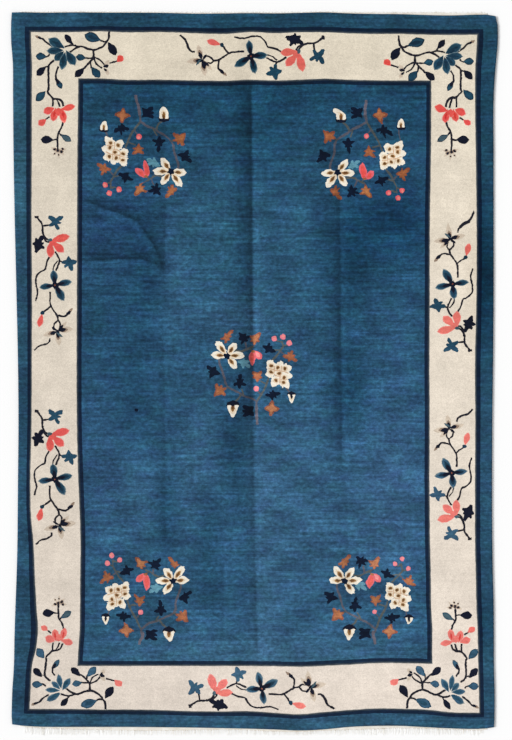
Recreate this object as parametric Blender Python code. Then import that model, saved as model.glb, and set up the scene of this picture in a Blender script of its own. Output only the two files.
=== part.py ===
"""A hand-knotted carpet of 6 by 9 feet, lying flat. Metres, +Z up.

X runs across the carpet and Y along it. The end at +Y is called the head, the end at -Y the foot.
The knotted carpet is one solid: its pile, its foundation and its overcast sides are one cloth.
At each end a narrow web of bare warp and weft follows the last row of knots, and from it the
warp ends stick out as a thin fringe: long and uneven at the foot, worn down to stubs at the head.
The origin is at the middle of the underside of the whole.
"""
import random
from collections import namedtuple

import bmesh
import bpy
import numpy as np

# The carpet's main sizes.
WIDTH = 1.84
LENGTH = 2.74
THICKNESS = 0.010
MM = 0.001

# How the rounded edge of the pile rises: inset from the outline, share of the thickness there.
Rim = namedtuple("Rim", "inset rise")
RIMS = (Rim(0.0, 0.38), Rim(0.0025, 0.84), Rim(0.007, 1.0), Rim(0.015, 1.0), Rim(0.024, 1.0))
CORNER_RADIUS = {"foot_left": 0.010, "foot_right": 0.008, "head_left": 0.008, "head_right": 0.023}

# The sides aren't straight: at each place along the carpet, how many millimetres each side stands
# outside half of WIDTH.
Side = namedtuple("Side", "along left right")
SIDES = (
    Side(-1.37, 12.0, -1.0),
    Side(-1.26, 9.5, 0.5),
    Side(-1.10, 1.5, -3.0),
    Side(-0.88, -4.0, -4.5),
    Side(-0.50, -13.0, -10.0),
    Side(-0.12, -15.0, -8.0),
    Side(0.27, -8.5, -4.0),
    Side(0.65, 0.0, -4.5),
    Side(1.03, 6.0, -4.5),
    Side(1.18, 6.5, 4.0),
    Side(1.30, 13.0, 13.0),
    Side(1.37, 13.0, 11.0),
)

# The ends ripple: at each place across the carpet, how many millimetres each end of the pile
# stands outside half of LENGTH, and how wide the bare web beyond it is.
End = namedtuple("End", "across foot head foot_web head_web")
ENDS = (
    End(-0.92, -10.0, 3.5, 4.0, 3.0),
    End(-0.82, -3.0, 0.0, 3.5, 2.5),
    End(-0.67, -2.0, 1.0, 9.0, 2.5),
    End(-0.52, -2.0, 0.0, 13.0, 2.5),
    End(-0.36, -1.0, -1.0, 13.0, 2.5),
    End(-0.21, 1.5, -4.0, 9.0, 4.0),
    End(-0.06, 4.0, -2.0, 5.0, 3.0),
    End(0.10, 9.0, -3.0, 8.0, 3.0),
    End(0.18, 12.0, -1.0, 4.0, 2.5),
    End(0.25, 9.0, 1.0, 4.0, 2.5),
    End(0.33, 1.5, -2.0, 9.0, 3.5),
    End(0.41, -6.0, -5.0, 12.0, 5.0),
    End(0.56, -6.0, -6.0, 8.0, 6.0),
    End(0.71, 2.5, -12.0, 4.0, 11.0),
    End(0.83, 6.5, -8.0, 4.0, 7.0),
    End(0.92, 1.5, -7.0, 7.0, 6.0),
)

# Old folds that show as soft troughs in the pile: how deep and how wide each is, and its line.
Fold = namedtuple("Fold", "depth width line")
FOLDS = (
    Fold(0.0022, 0.050, ((-0.018, 1.09), (-0.018, -0.21))),
    Fold(0.0012, 0.050, ((-0.018, -0.21), (-0.006, -0.65), (0.009, -1.07))),
    Fold(0.0018, 0.050, ((0.327, 0.66), (0.327, -0.31))),
    Fold(0.0009, 0.050, ((0.345, -0.40), (0.368, -0.88))),
    Fold(0.0014, 0.050, ((-0.351, 0.66), (-0.351, 0.36))),
    Fold(0.0008, 0.050, ((-0.343, -0.31), (-0.343, -0.69))),
    Fold(0.0014, 0.060, ((-0.650, 0.66), (-0.496, 0.605), (-0.343, 0.46))),
    Fold(0.0012, 0.060, ((-0.650, 0.42), (-0.439, 0.429), (-0.343, 0.383))),
    Fold(0.0010, 0.060, ((0.365, 0.528), (0.480, 0.544))),
)
FOLD_FADE = 0.09

# The grid of the top face: its plain pitch, and the finer lines that each fold adds beside it.
GRID_PITCH = 0.100
FINE_STEPS = (-0.026, -0.011, 0.0, 0.011, 0.026)
FINE_PITCH = 0.045
LINE_CLEARANCE = 0.010

# The fringe. A strand is a lock of a few warp ends lying together.
WEB_HEIGHT = 0.0020
TIP_HEIGHT = 0.0012
WEB_GAP = 0.0004
WEB_INSET = 0.034
Fringe = namedtuple("Fringe", "name strands reach spread lean seed")
FRINGES = (
    Fringe("fringe_foot", 140, 0.0275, 0.0045, 0.0040, 11),
    Fringe("fringe_head", 60, 0.0035, 0.0020, 0.0010, 12),
)
STRAND_SHARE = (0.30, 0.52)
LEAST_STRAND = {"fringe_foot": 0.008, "fringe_head": 0.002}


def table_value(rows, key, value, where):
    """Read a column of a table at any place, on a smooth curve through its rows."""
    stations = np.array([getattr(row, key) for row in rows])
    values = np.array([getattr(row, value) for row in rows])
    slopes = np.gradient(values, stations)
    where = np.clip(where, stations[0], stations[-1])
    i = np.clip(np.searchsorted(stations, where) - 1, 0, len(stations) - 2)
    span = stations[i + 1] - stations[i]
    t = (where - stations[i]) / span
    return ((1 + 2 * t) * (1 - t) ** 2 * values[i] + t * (1 - t) ** 2 * span * slopes[i]
            + t * t * (3 - 2 * t) * values[i + 1] + t * t * (t - 1) * span * slopes[i + 1])


def round_corner(x, y):
    """Draw a point of the nominal rectangle in where it lies in a corner, to round that corner."""
    end = "head" if y > 0 else "foot"
    side = "right" if x > 0 else "left"
    radius = CORNER_RADIUS[end + "_" + side]
    a = abs(x) - (WIDTH / 2 - radius)
    b = abs(y) - (LENGTH / 2 - radius)
    if a <= 0 or b <= 0:
        return x, y
    a_in = a * (1 - (b / radius) ** 2 / 2) ** 0.5
    b_in = b * (1 - (a / radius) ** 2 / 2) ** 0.5
    return x + np.sign(x) * (a_in - a), y + np.sign(y) * (b_in - b)


def on_outline(x, y):
    """Move a point of the nominal rectangle to its place on the uneven carpet."""
    x, y = round_corner(x, y)
    across = x / WIDTH + 0.5
    along = y / LENGTH + 0.5
    left = table_value(SIDES, "along", "left", y) * MM
    right = table_value(SIDES, "along", "right", y) * MM
    foot = table_value(ENDS, "across", "foot", x) * MM
    head = table_value(ENDS, "across", "head", x) * MM
    return x - left * (1 - across) + right * across, y - foot * (1 - along) + head * along


def fold_drop(x, y):
    """How far the pile sinks at a point, in the troughs that the folds left."""
    drop = 0.0
    here = np.array((x, y))
    for fold in FOLDS:
        line = np.array(fold.line)
        total = np.linalg.norm(np.diff(line, axis=0), axis=1).sum()
        passed = 0.0
        best = None
        for start, end in zip(line[:-1], line[1:]):
            run = end - start
            length = np.linalg.norm(run)
            share = float(np.clip(np.dot(here - start, run) / length ** 2, 0, 1))
            distance = np.linalg.norm(here - start - share * run)
            if best is None or distance < best[0]:
                best = (distance, passed + share * length)
            passed += length
        distance, walked = best
        if distance < fold.width / 2:
            fade = min(1.0, (min(walked, total - walked) + FOLD_FADE / 3) / FOLD_FADE)
            drop = max(drop, fold.depth * fade * np.cos(np.pi * distance / fold.width) ** 2)
    return drop


def grid_lines(half, centres, fine_ranges):
    """Where the grid's lines lie from -half to half: the rims, the fine lines and the plain pitch."""
    rims = [half - rim.inset for rim in RIMS]
    lines = [-edge for edge in rims] + rims
    wanted = [centre + step for centre in centres for step in FINE_STEPS]
    for low, high in fine_ranges:
        wanted += list(np.arange(low, high, FINE_PITCH))
    steps = round(2 * half / GRID_PITCH)
    wanted += [half * (2 * i / steps - 1) for i in range(1, steps)]
    inner = half - RIMS[-1].inset
    for value in wanted:
        clear = all(abs(value - line) > LINE_CLEARANCE for line in lines)
        if abs(value) < inner - LINE_CLEARANCE and clear:
            lines.append(value)
    return sorted(lines)


def make_material(name, colour, roughness):
    material = bpy.data.materials.new(name)
    material.use_nodes = True
    shader = material.node_tree.nodes["Principled BSDF"]
    shader.inputs["Base Color"].default_value = (*colour, 1.0)
    shader.inputs["Roughness"].default_value = roughness
    shader.inputs["Metallic"].default_value = 0.0
    return material


def make_object(name, bm, material):
    bmesh.ops.recalc_face_normals(bm, faces=bm.faces)
    mesh = bpy.data.meshes.new(name)
    bm.to_mesh(mesh)
    bm.free()
    mesh.materials.append(material)
    piece = bpy.data.objects.new(name, mesh)
    bpy.context.scene.collection.objects.link(piece)
    return piece


def make_carpet(material):
    """The knotted cloth: a folded top face, a rounded rim and a flat underside."""
    xs = grid_lines(WIDTH / 2, (-0.351, -0.018, 0.327, 0.368), ((-0.66, -0.38), (0.40, 0.50)))
    ys = grid_lines(LENGTH / 2, (), ((0.34, 0.70), (-1.10, -1.00)))
    bm = bmesh.new()
    rows = []
    for j, y in enumerate(ys):
        row = []
        for i, x in enumerate(xs):
            ring = min(i, j, len(xs) - 1 - i, len(ys) - 1 - j, len(RIMS) - 1)
            px, py = on_outline(x, y)
            row.append(bm.verts.new((px, py, THICKNESS * RIMS[ring].rise - fold_drop(px, py))))
        rows.append(row)
    for low, high in zip(rows[:-1], rows[1:]):
        for i in range(len(xs) - 1):
            bm.faces.new((low[i], low[i + 1], high[i + 1], high[i]))

    edge = (rows[0][:-1] + [row[-1] for row in rows[:-1]]
            + rows[-1][:0:-1] + [row[0] for row in rows[:0:-1]])
    feet = [bm.verts.new((vert.co.x, vert.co.y, 0.0)) for vert in edge]
    for k, vert in enumerate(edge):
        after = (k + 1) % len(edge)
        bm.faces.new((edge[after], vert, feet[k], feet[after]))
    bm.faces.new(feet[::-1])

    ends = {"foot": [tuple(vert.co.xy) for vert in rows[0]],
            "head": [tuple(vert.co.xy) for vert in rows[-1]]}
    return make_object("carpet", bm, material), ends


def make_fringe(fringe, end_line, material):
    """A web strip along one end of the pile, with the warp ends standing out of it."""
    rng = random.Random(fringe.seed)
    end = fringe.name.split("_")[1]
    out = -1.0 if end == "foot" else 1.0
    line_x = [point[0] for point in end_line]
    line_y = [point[1] for point in end_line]
    low_x = line_x[0] + WEB_INSET
    pitch = (line_x[-1] - WEB_INSET - low_x) / fringe.strands

    stations = [low_x]
    for k in range(fringe.strands):
        share = rng.uniform(*STRAND_SHARE)
        start = low_x + pitch * (k + rng.uniform(0.12, 0.88 - share))
        stations += [start, start + pitch * share]
    stations.append(low_x + pitch * fringe.strands)

    bm = bmesh.new()
    inner, outer = [], []
    for x in stations:
        y = float(np.interp(x, line_x, line_y)) + out * WEB_GAP
        web = float(table_value(ENDS, "across", end + "_web", x)) * MM
        inner.append(bm.verts.new((x, y, WEB_HEIGHT)))
        outer.append(bm.verts.new((x, y + out * web, WEB_HEIGHT)))
    for i in range(len(stations) - 1):
        bm.faces.new((inner[i], inner[i + 1], outer[i + 1], outer[i]))

    for k in range(fringe.strands):
        left, right = outer[2 * k + 1], outer[2 * k + 2]
        middle_x = (left.co.x + right.co.x) / 2
        root_y = (left.co.y + right.co.y) / 2
        half = (right.co.x - left.co.x) / 2
        tip_y = out * (LENGTH / 2 + fringe.reach + rng.uniform(-1, 1) * fringe.spread)
        length = max(abs(tip_y - root_y) if tip_y * out > root_y * out else 0.0,
                     LEAST_STRAND[fringe.name] * rng.uniform(1.0, 1.6))
        lean = rng.uniform(-1, 1) * fringe.lean
        bend = rng.uniform(-1, 1) * fringe.lean / 2
        before = (left, right)
        for step, side, height in ((0.55, bend, (WEB_HEIGHT + TIP_HEIGHT) / 2), (1.0, lean, TIP_HEIGHT)):
            narrow = half * (1 - 0.35 * step)
            after = [bm.verts.new((middle_x + side + turn * narrow, root_y + out * length * step, height))
                     for turn in (-1, 1)]
            bm.faces.new((before[0], before[1], after[1], after[0]))
            before = after

    grown = bmesh.ops.extrude_face_region(bm, geom=bm.faces[:])
    for item in grown["geom"]:
        if isinstance(item, bmesh.types.BMVert):
            item.co.z = 0.0
    return make_object(fringe.name, bm, material)


def stand_on_origin(pieces):
    """Move every mesh so that the middle of the whole underside is at the origin."""
    points = np.array([vert.co[:] for piece in pieces for vert in piece.data.vertices])
    middle = (points.min(axis=0) + points.max(axis=0)) / 2
    for piece in pieces:
        for vert in piece.data.vertices:
            vert.co.x -= middle[0]
            vert.co.y -= middle[1]


for old in list(bpy.data.objects):
    bpy.data.objects.remove(old, do_unlink=True)

wool = make_material("wool_pile", (0.023, 0.080, 0.147), 0.95)
cotton = make_material("cotton_warp", (0.76, 0.70, 0.60), 0.9)
carpet, end_lines = make_carpet(wool)
fringe_pieces = [make_fringe(fringe, end_lines[fringe.name.split("_")[1]], cotton) for fringe in FRINGES]
stand_on_origin([carpet] + fringe_pieces)
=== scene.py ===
import math
from collections import namedtuple

import bpy
import numpy as np
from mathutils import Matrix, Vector
from mathutils.geometry import delaunay_2d_cdt


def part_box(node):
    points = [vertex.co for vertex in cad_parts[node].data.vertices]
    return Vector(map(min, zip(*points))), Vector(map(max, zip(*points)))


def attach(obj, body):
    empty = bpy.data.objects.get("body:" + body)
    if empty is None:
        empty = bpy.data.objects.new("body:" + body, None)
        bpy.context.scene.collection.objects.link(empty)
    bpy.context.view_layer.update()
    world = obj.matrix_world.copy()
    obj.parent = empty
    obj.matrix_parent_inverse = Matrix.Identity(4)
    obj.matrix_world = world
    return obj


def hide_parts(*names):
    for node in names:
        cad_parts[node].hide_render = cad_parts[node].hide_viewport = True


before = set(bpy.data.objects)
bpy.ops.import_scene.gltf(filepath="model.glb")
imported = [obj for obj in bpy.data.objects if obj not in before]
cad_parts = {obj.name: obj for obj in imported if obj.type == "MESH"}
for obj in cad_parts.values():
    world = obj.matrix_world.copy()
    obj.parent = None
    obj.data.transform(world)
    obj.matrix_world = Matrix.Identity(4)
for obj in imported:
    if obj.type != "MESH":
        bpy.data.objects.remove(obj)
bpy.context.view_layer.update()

# How the carpet lies.
# Its sides wander, its ends ripple and the guard lines of its border drift with the weaving, so
# the straight drawing of the carpet is stretched over the cloth as it really lies.
MM = 0.001

# The straight drawing in metres: the whole pile, how far from its middle the border and the field
# end on its sides and at its ends, and the radius at each corner of the pile.
WIDTH = 1.84
LENGTH = 2.74
BORDER = 0.852
FIELD = 0.674
END_BORDER = 1.300
END_FIELD = 1.120
CORNER_RADIUS = {(-1, -1): 0.010, (1, -1): 0.008, (-1, 1): 0.008, (1, 1): 0.023}

# Along the carpet, how many millimetres each line stands outside its place in the drawing.
Side = namedtuple("Side", "along left left_border left_field right_field right_border right")
SIDES = (
    Side(-1.37, 12, 15, 2, 5, 12, -1),
    Side(-1.23, 9, 8, 2, 5, 9, 0),
    Side(-1.11, 2, 0, 2, 5, 6, -3),
    Side(-1.05, 1, -14, -1, 5, 5, -3),
    Side(-1.00, 0, -20, -5, 5, 4, -3),
    Side(-0.88, -4, -14, -7, 0, -1, -4),
    Side(-0.77, -8, -8, -8, -1, -3, -7),
    Side(-0.65, -11, -3, -9, -4, -6, -9),
    Side(-0.54, -12, 7, -6, -5, -6, -10),
    Side(-0.42, -13, 9, -1, -6, -6, -10),
    Side(-0.19, -15, 4, 5, -5, -5, -9),
    Side(0.04, -13, 3, 6, -6, -6, -6),
    Side(0.27, -8, 2, 5, -5, -1, -4),
    Side(0.61, 0, 4, 4, -4, 0, -4),
    Side(0.84, 4, 3, 3, 0, -3, -4),
    Side(1.07, 6, 3, 0, 1, -6, -3),
    Side(1.19, 7, 3, 0, 1, -4, 5),
    Side(1.26, 13, 6, 0, 1, 1, 12),
    Side(1.37, 13, 6, 0, 0, 2, 11),
)

# Across the carpet, the same for the lines of the two ends.
End = namedtuple("End", "across foot foot_border foot_field head_field head_border head")
ENDS = (
    End(-0.92, -10, 0, 12, -5, -4, 3),
    End(-0.82, -3, 0, 12, -5, -4, 0),
    End(-0.67, -2, 0, 12, -5, -4, 1),
    End(-0.59, -2, 2, 12, -5, -1, 0),
    End(-0.50, -2, 2, 12, -10, -5, 0),
    End(-0.36, -1, 4, 12, -10, -4, -1),
    End(-0.21, 1, 9, 12, -13, -9, -4),
    End(-0.11, 3, 9, 12, -14, -11, -3),
    End(-0.02, 5, 8, 12, -10, -4, -2),
    End(0.08, 8, 15, 13, -13, -8, -3),
    End(0.175, 12, 20, 15, -10, -5, -1),
    End(0.27, 7, 11, 11, -6, -5, 1),
    End(0.36, -2, 4, 7, -10, -9, -3),
    End(0.46, -6, -2, 1, -12, -11, -5),
    End(0.56, -6, -1, 1, -13, -11, -6),
    End(0.65, -1, 2, 3, -13, -14, -9),
    End(0.75, 4, 13, 6, -13, -15, -11),
    End(0.84, 6, 14, 6, -13, -14, -8),
    End(0.92, 1, 12, 6, -13, -13, -7),
)

# Old folds, where the pile sinks. Shade is painted on one side of the line, a highlight on the
# other. Each has its depth and width, how dark its painted shade is, and its line, in metres on the
# lying cloth, with the painted shade on the right hand of who walks along it.
Fold = namedtuple("Fold", "depth width dark line")
FOLDS = (
    Fold(0.0026, 0.062, 0.80, ((-0.016, 1.10), (-0.012, 0.60), (-0.008, -0.21))),
    Fold(0.0016, 0.055, 0.42, ((-0.008, -0.21), (-0.002, -0.65), (0.009, -1.09))),
    Fold(0.0020, 0.060, 0.48, ((0.324, 0.72), (0.327, 0.10), (0.334, -0.38))),
    Fold(0.0010, 0.050, 0.16, ((0.322, 1.10), (0.325, 0.74))),
    Fold(0.0010, 0.050, 0.14, ((0.345, -0.40), (0.368, -0.95))),
    Fold(0.0016, 0.050, 0.30, ((-0.342, 0.70), (-0.348, 0.34))),
    Fold(0.0008, 0.050, 0.16, ((-0.352, 1.08), (-0.346, 0.74))),
    Fold(0.0009, 0.050, 0.20, ((-0.351, 0.20), (-0.343, -0.69))),
    Fold(0.0016, 0.044, 0.80, ((-0.352, 0.395), (-0.385, 0.480), (-0.450, 0.575), (-0.540, 0.610),
                               (-0.660, 0.655))),
    Fold(0.0015, 0.044, 0.84, ((-0.350, 0.378), (-0.380, 0.412), (-0.435, 0.428), (-0.550, 0.427),
                               (-0.660, 0.420))),
    Fold(0.0010, 0.036, 0.30, ((0.660, 0.560), (0.560, 0.545), (0.420, 0.520), (0.330, 0.545))),
    Fold(0.0006, 0.030, 0.24, ((0.500, -0.862), (0.440, -0.850), (0.365, -0.838))),
)
FOLD_FADE = 0.09

# Painted shade on a fold's dark side is darkest at its line and fades twice, within two shares of
# its width. The lit side is painted dark at the very line, in metres, and lightest a little beside it.
NEAR_DARK = 0.55
NEAR_SHARE = 0.20
FAR_DARK = 0.45
FAR_SHARE = 0.80
LINE_REACH = 0.005
LIT = 0.22
LIT_AWAY = 0.016
LIT_REACH = 0.014


def on_table(rows, where):
    """Read every value column of a table at many places, on smooth curves through its rows."""
    table = np.array(rows, float)
    stations, values = table[:, 0], table[:, 1:]
    slopes = np.gradient(values, stations, axis=0)
    where = np.clip(where, stations[0], stations[-1])
    i = np.clip(np.searchsorted(stations, where) - 1, 0, len(stations) - 2)
    span = (stations[i + 1] - stations[i])[:, None]
    t = (where - stations[i])[:, None] / span
    return ((1 + 2 * t) * (1 - t) ** 2 * values[i] + t * (1 - t) ** 2 * span * slopes[i]
            + t * t * (3 - 2 * t) * values[i + 1] + t * t * (t - 1) * span * slopes[i + 1])


def stretched(place, lines, shifts):
    """Shift places between the drawing's lines by as much as the lines on both sides shift."""
    i = np.clip(np.searchsorted(lines, place) - 1, 0, len(lines) - 2)
    share = np.clip((place - lines[i]) / (lines[i + 1] - lines[i]), 0, 1)
    rows = np.arange(len(place))
    return place + shifts[rows, i] * (1 - share) + shifts[rows, i + 1] * share


def as_it_lies(points):
    """Take points of the straight drawing to their places on the lying cloth."""
    x, y = points[:, 0].copy(), points[:, 1].copy()
    for (side, end), radius in CORNER_RADIUS.items():
        a = x * side - (WIDTH / 2 - radius)
        b = y * end - (LENGTH / 2 - radius)
        near = (a > 0) & (b > 0)
        a, b = a[near], b[near]
        x[near] += side * (a * np.sqrt(np.clip(1 - (b / radius) ** 2 / 2, 0, 1)) - a)
        y[near] += end * (b * np.sqrt(np.clip(1 - (a / radius) ** 2 / 2, 0, 1)) - b)
    out = np.array((-1, -1, -1, 1, 1, 1)) * MM
    across = np.array((-WIDTH / 2, -BORDER, -FIELD, FIELD, BORDER, WIDTH / 2))
    along = np.array((-LENGTH / 2, -END_BORDER, -END_FIELD, END_FIELD, END_BORDER, LENGTH / 2))
    return np.column_stack((stretched(x, across, on_table(SIDES, y) * out),
                            stretched(y, along, on_table(ENDS, x) * out)))


def fold_depth(points):
    """At each point of the lying cloth: how far the pile sinks, and its painted shade and highlight."""
    drop = np.zeros(len(points))
    dark = np.zeros(len(points))
    for fold in FOLDS:
        line = np.array(fold.line)
        whole = np.linalg.norm(np.diff(line, axis=0), axis=1).sum()
        nearest = np.full(len(points), np.inf)
        walked = np.zeros(len(points))
        left = np.zeros(len(points))
        passed = 0.0
        for start, end in zip(line[:-1], line[1:]):
            run = end - start
            length = np.linalg.norm(run)
            away = points - start
            share = np.clip(away @ run / length ** 2, 0, 1)
            distance = np.linalg.norm(away - share[:, None] * run, axis=1)
            closer = distance < nearest
            nearest[closer] = distance[closer]
            left[closer] = np.sign(away[:, 1] * run[0] - away[:, 0] * run[1])[closer]
            walked[closer] = passed + share[closer] * length
            passed += length
        fade = np.clip((np.minimum(walked, whole - walked) + FOLD_FADE / 3) / FOLD_FADE, 0, 1)
        trough = fold.depth * fade * np.cos(np.pi * np.clip(nearest / fold.width, 0, 0.5)) ** 2
        drop = np.maximum(drop, trough)
        dark_side = (NEAR_DARK * np.exp(-(nearest / (NEAR_SHARE * fold.width)) ** 2)
                     + FAR_DARK * np.exp(-(nearest / (FAR_SHARE * fold.width)) ** 2))
        lit_side = (np.exp(-(nearest / LINE_REACH) ** 2)
                    - LIT * np.exp(-((nearest - LIT_AWAY) / LIT_REACH) ** 2))
        # Painted shade on the dark side; on the lit side painted shade at the line, then a painted
        # highlight.
        dark += fold.dark * fade * np.where(left < 0, dark_side, lit_side)
    return drop, dark


# Dyed yarns.
# Hand-dyed wool in indigo blues, madder corals, rust, camel and undyed ivory. Each row gives the
# colour as seen, and how strongly it changes from one dye lot and row of knots to the next; this
# also sets how strongly the drifting tone, partly painted light, shows on it.
Yarn = namedtuple("Yarn", "red green blue streaks")
YARNS = {
    "band": Yarn(38, 74, 98, 0.9),
    "navy": Yarn(15, 32, 54, 0.6),
    "charcoal": Yarn(46, 56, 66, 0.4),
    "ash": Yarn(122, 124, 124, 0.3),
    "cream": Yarn(223, 213, 194, 0.10),
    "field": Yarn(40, 79, 108, 1.0),
    "ink": Yarn(18, 22, 38, 0.5),
    "ink_field": Yarn(10, 22, 42, 0.6),
    "teal": Yarn(36, 70, 90, 0.6),
    "teal_blue": Yarn(53, 86, 110, 0.6),
    "teal_deep": Yarn(26, 52, 70, 0.6),
    "teal_rim": Yarn(106, 126, 134, 0.4),
    "slate": Yarn(66, 88, 98, 0.5),
    "coral": Yarn(220, 92, 86, 0.25),
    "coral_deep": Yarn(204, 66, 62, 0.25),
    "coral_soft": Yarn(222, 116, 107, 0.25),
    "coral_pale": Yarn(230, 138, 130, 0.2),
    "pink": Yarn(222, 106, 112, 0.25),
    "pink_pale": Yarn(236, 144, 142, 0.25),
    "pink_dusty": Yarn(224, 124, 138, 0.25),
    "rust": Yarn(156, 97, 66, 0.6),
    "rust_deep": Yarn(134, 80, 62, 0.6),
    "camel": Yarn(170, 111, 78, 0.5),
    "ivory": Yarn(235, 227, 211, 0.08),
    "ivory_shade": Yarn(224, 206, 180, 0.15),
    "seam": Yarn(204, 172, 142, 0.3),
    "cell": Yarn(142, 104, 62, 0.4),
    "cell_deep": Yarn(90, 62, 42, 0.4),
    "sky": Yarn(94, 142, 160, 0.6),
    "twig": Yarn(82, 83, 94, 0.6),
    "twig_warm": Yarn(80, 86, 86, 0.6),
    "twig_pale": Yarn(97, 93, 104, 0.6),
    "bark": Yarn(30, 30, 40, 0.4),
    "taupe": Yarn(146, 126, 110, 0.3),
    "taupe_pale": Yarn(203, 188, 170, 0.2),
}


# The drawing of the carpet.
# Shapes are laid over each other in the order in which they are drawn, each in one yarn. Motifs
# are drawn in centimetres in a frame of their own, and put turns them into places on the carpet.
CM = 0.01
ROW = 0.0064
RAGGED = 0.0012
patches = []
rng = np.random.default_rng(7)


def patch(points, yarn, put=None, ragged=RAGGED, step=ROW):
    """Add a shape: its outline is broken at each row of knots, and is as ragged as knots are."""
    points = np.asarray(points, float)
    if put is not None:
        points = put(points)
    after = np.roll(points, -1, axis=0)
    broken = []
    for start, end in zip(points, after):
        steps = max(1, int(round(np.linalg.norm(end - start) / step)))
        broken += [start + (end - start) * k / steps for k in range(steps)]
    broken = np.array(broken)
    index = np.arange(len(broken))
    apart = np.abs(index[:, None] - index)
    gaps = np.linalg.norm(broken[:, None] - broken, axis=2)
    gaps[np.minimum(apart, len(broken) - apart) < 2] = 1.0
    room = np.minimum(ragged, 0.3 * gaps.min(axis=1))
    broken += rng.uniform(-1, 1, broken.shape) * room[:, None]
    nxt = np.roll(broken, -1, axis=0)
    if (broken[:, 0] * nxt[:, 1] - nxt[:, 0] * broken[:, 1]).sum() < 0:
        broken = broken[::-1]
    patches.append((broken, yarn))


def curve(points, steps=3):
    """A smooth line through given points."""
    points = np.array(points, float)
    ends = np.vstack((2 * points[0] - points[1], points, 2 * points[-1] - points[-2]))
    line = []
    for a, b, c, d in zip(ends[:-3], ends[1:-2], ends[2:-1], ends[3:]):
        for t in np.arange(steps) / steps:
            line.append(0.5 * (2 * b + (c - a) * t + (2 * a - 5 * b + 4 * c - d) * t ** 2
                               + (3 * b - a - 3 * c + d) * t ** 3))
    return np.array(line + [points[-1]])


def stem(points, yarn, put, width):
    """A twig: a narrow ribbon along a smooth line."""
    line = curve(points)
    run = np.gradient(line, axis=0)
    side = np.column_stack((-run[:, 1], run[:, 0])) / np.linalg.norm(run, axis=1)[:, None]
    patch(np.vstack((line + side * width / 2, (line - side * width / 2)[::-1])), yarn, put)


PETAL_STEPS = 8


def petal(base, tip, width, yarn, put, belly=0.55, blunt=0.9, ragged=RAGGED):
    """A leaf or petal from base to tip, widest at the share belly of its length."""
    base, tip = np.array(base, float), np.array(tip, float)
    run = tip - base
    side = np.array((-run[1], run[0])) / np.linalg.norm(run)
    t = np.linspace(0, 1, PETAL_STEPS + 1)
    middle = base + t[:, None] * run
    swell = np.sin(np.pi * t ** (math.log(0.5) / math.log(belly)))
    half = width / 2 * np.maximum(swell, 0) ** blunt
    half = half[:, None] * side
    patch(np.vstack((middle + half, (middle - half)[::-1][1:-1])), yarn, put, ragged)


def rimmed(base, tip, width, rim, yarn, put):
    """A petal in two yarns: a pale rim round its own colour."""
    base, tip = np.array(base, float), np.array(tip, float)
    petal(base, tip, width, rim, put, 0.60, 0.75)
    inner_base, inner_tip = base + 0.03 * (tip - base), base + 0.94 * (tip - base)
    petal(inner_base, inner_tip, width - 0.45, yarn, put, 0.60, 0.75)


DISC_STEPS = 12


def disc(centre, across, along, yarn, put, turn=0.0):
    """A round or oval spot, turned by some degrees."""
    angles = np.arange(DISC_STEPS) * math.tau / DISC_STEPS
    x, y = across * np.cos(angles), along * np.sin(angles)
    c, s = math.cos(math.radians(turn)), math.sin(math.radians(turn))
    patch(np.column_stack((centre[0] + x * c - y * s, centre[1] + x * s + y * c)), yarn, put)


def ray(centre, angle, length):
    """The place at a distance from a centre, in a direction."""
    turn = math.radians(angle)
    return centre[0] + length * math.cos(turn), centre[1] + length * math.sin(turn)


# The tip of a leaf's lobe: degrees to either side of its direction and share of its length.
LOBE_TIP = ((-17, 0.80), (-6, 1.02), (6, 1.02), (17, 0.80))


def lobed(centre, lobes, yarn, put, waist=0.60, ragged=0.0018):
    """A cut leaf: a pointed lobe at each angle, with a notch between it and the next."""
    lobes = sorted((angle % 360, size) for angle, size in lobes)
    outline = []
    for k, (angle, size) in enumerate(lobes):
        after, after_size = lobes[(k + 1) % len(lobes)]
        gap = (after - angle) % 360
        for turn, share in LOBE_TIP:
            outline.append((angle + turn, size * share))
        outline.append((angle + gap / 2, waist * (size + after_size) / 2))
    patch([ray(centre, angle, size) for angle, size in outline], yarn, put, ragged)


def frame_lines(shrink, yarn):
    """A straight-sided ground, as much inside the outline as shrink gives on sides and ends."""
    x, y = WIDTH / 2 - shrink[0], LENGTH / 2 - shrink[1]
    patch(((-x, -y), (x, -y), (x, y), (-x, y)), yarn, ragged=STRAIGHT_RAGGED, step=2 * ROW)


# The dark guard lines and their ash edges. The outer line came out wider, more so on the sides.
STRAIGHT_RAGGED = 0.0007
GUARD = 0.0155
WIDER_SIDE = 0.004
WIDER_END = 0.0025
WIDER_INNER = 0.002
GUARD_HALO = 0.0050
SOFT_EDGE = 0.0022
side_border, end_border = WIDTH / 2 - BORDER, LENGTH / 2 - END_BORDER
side_field, end_field = WIDTH / 2 - FIELD, LENGTH / 2 - END_FIELD
frame_lines((side_border - GUARD - WIDER_SIDE, end_border - GUARD - WIDER_END), "navy")
frame_lines((side_border - GUARD_HALO, end_border - GUARD_HALO), "charcoal")
frame_lines((side_border, end_border), "ash")
frame_lines((side_border + SOFT_EDGE, end_border + SOFT_EDGE), "cream")
frame_lines((side_field - SOFT_EDGE, end_field - SOFT_EDGE), "ash")
frame_lines((side_field, end_field), "charcoal")
frame_lines((side_field + GUARD_HALO, end_field + GUARD_HALO), "navy")
frame_lines((side_field + GUARD + WIDER_INNER, end_field + GUARD + WIDER_INNER), "field")

# A stray knot of dark wool in the field.
disc((-0.447, -0.142), 0.0075, 0.0065, "ink_field", None)

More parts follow.
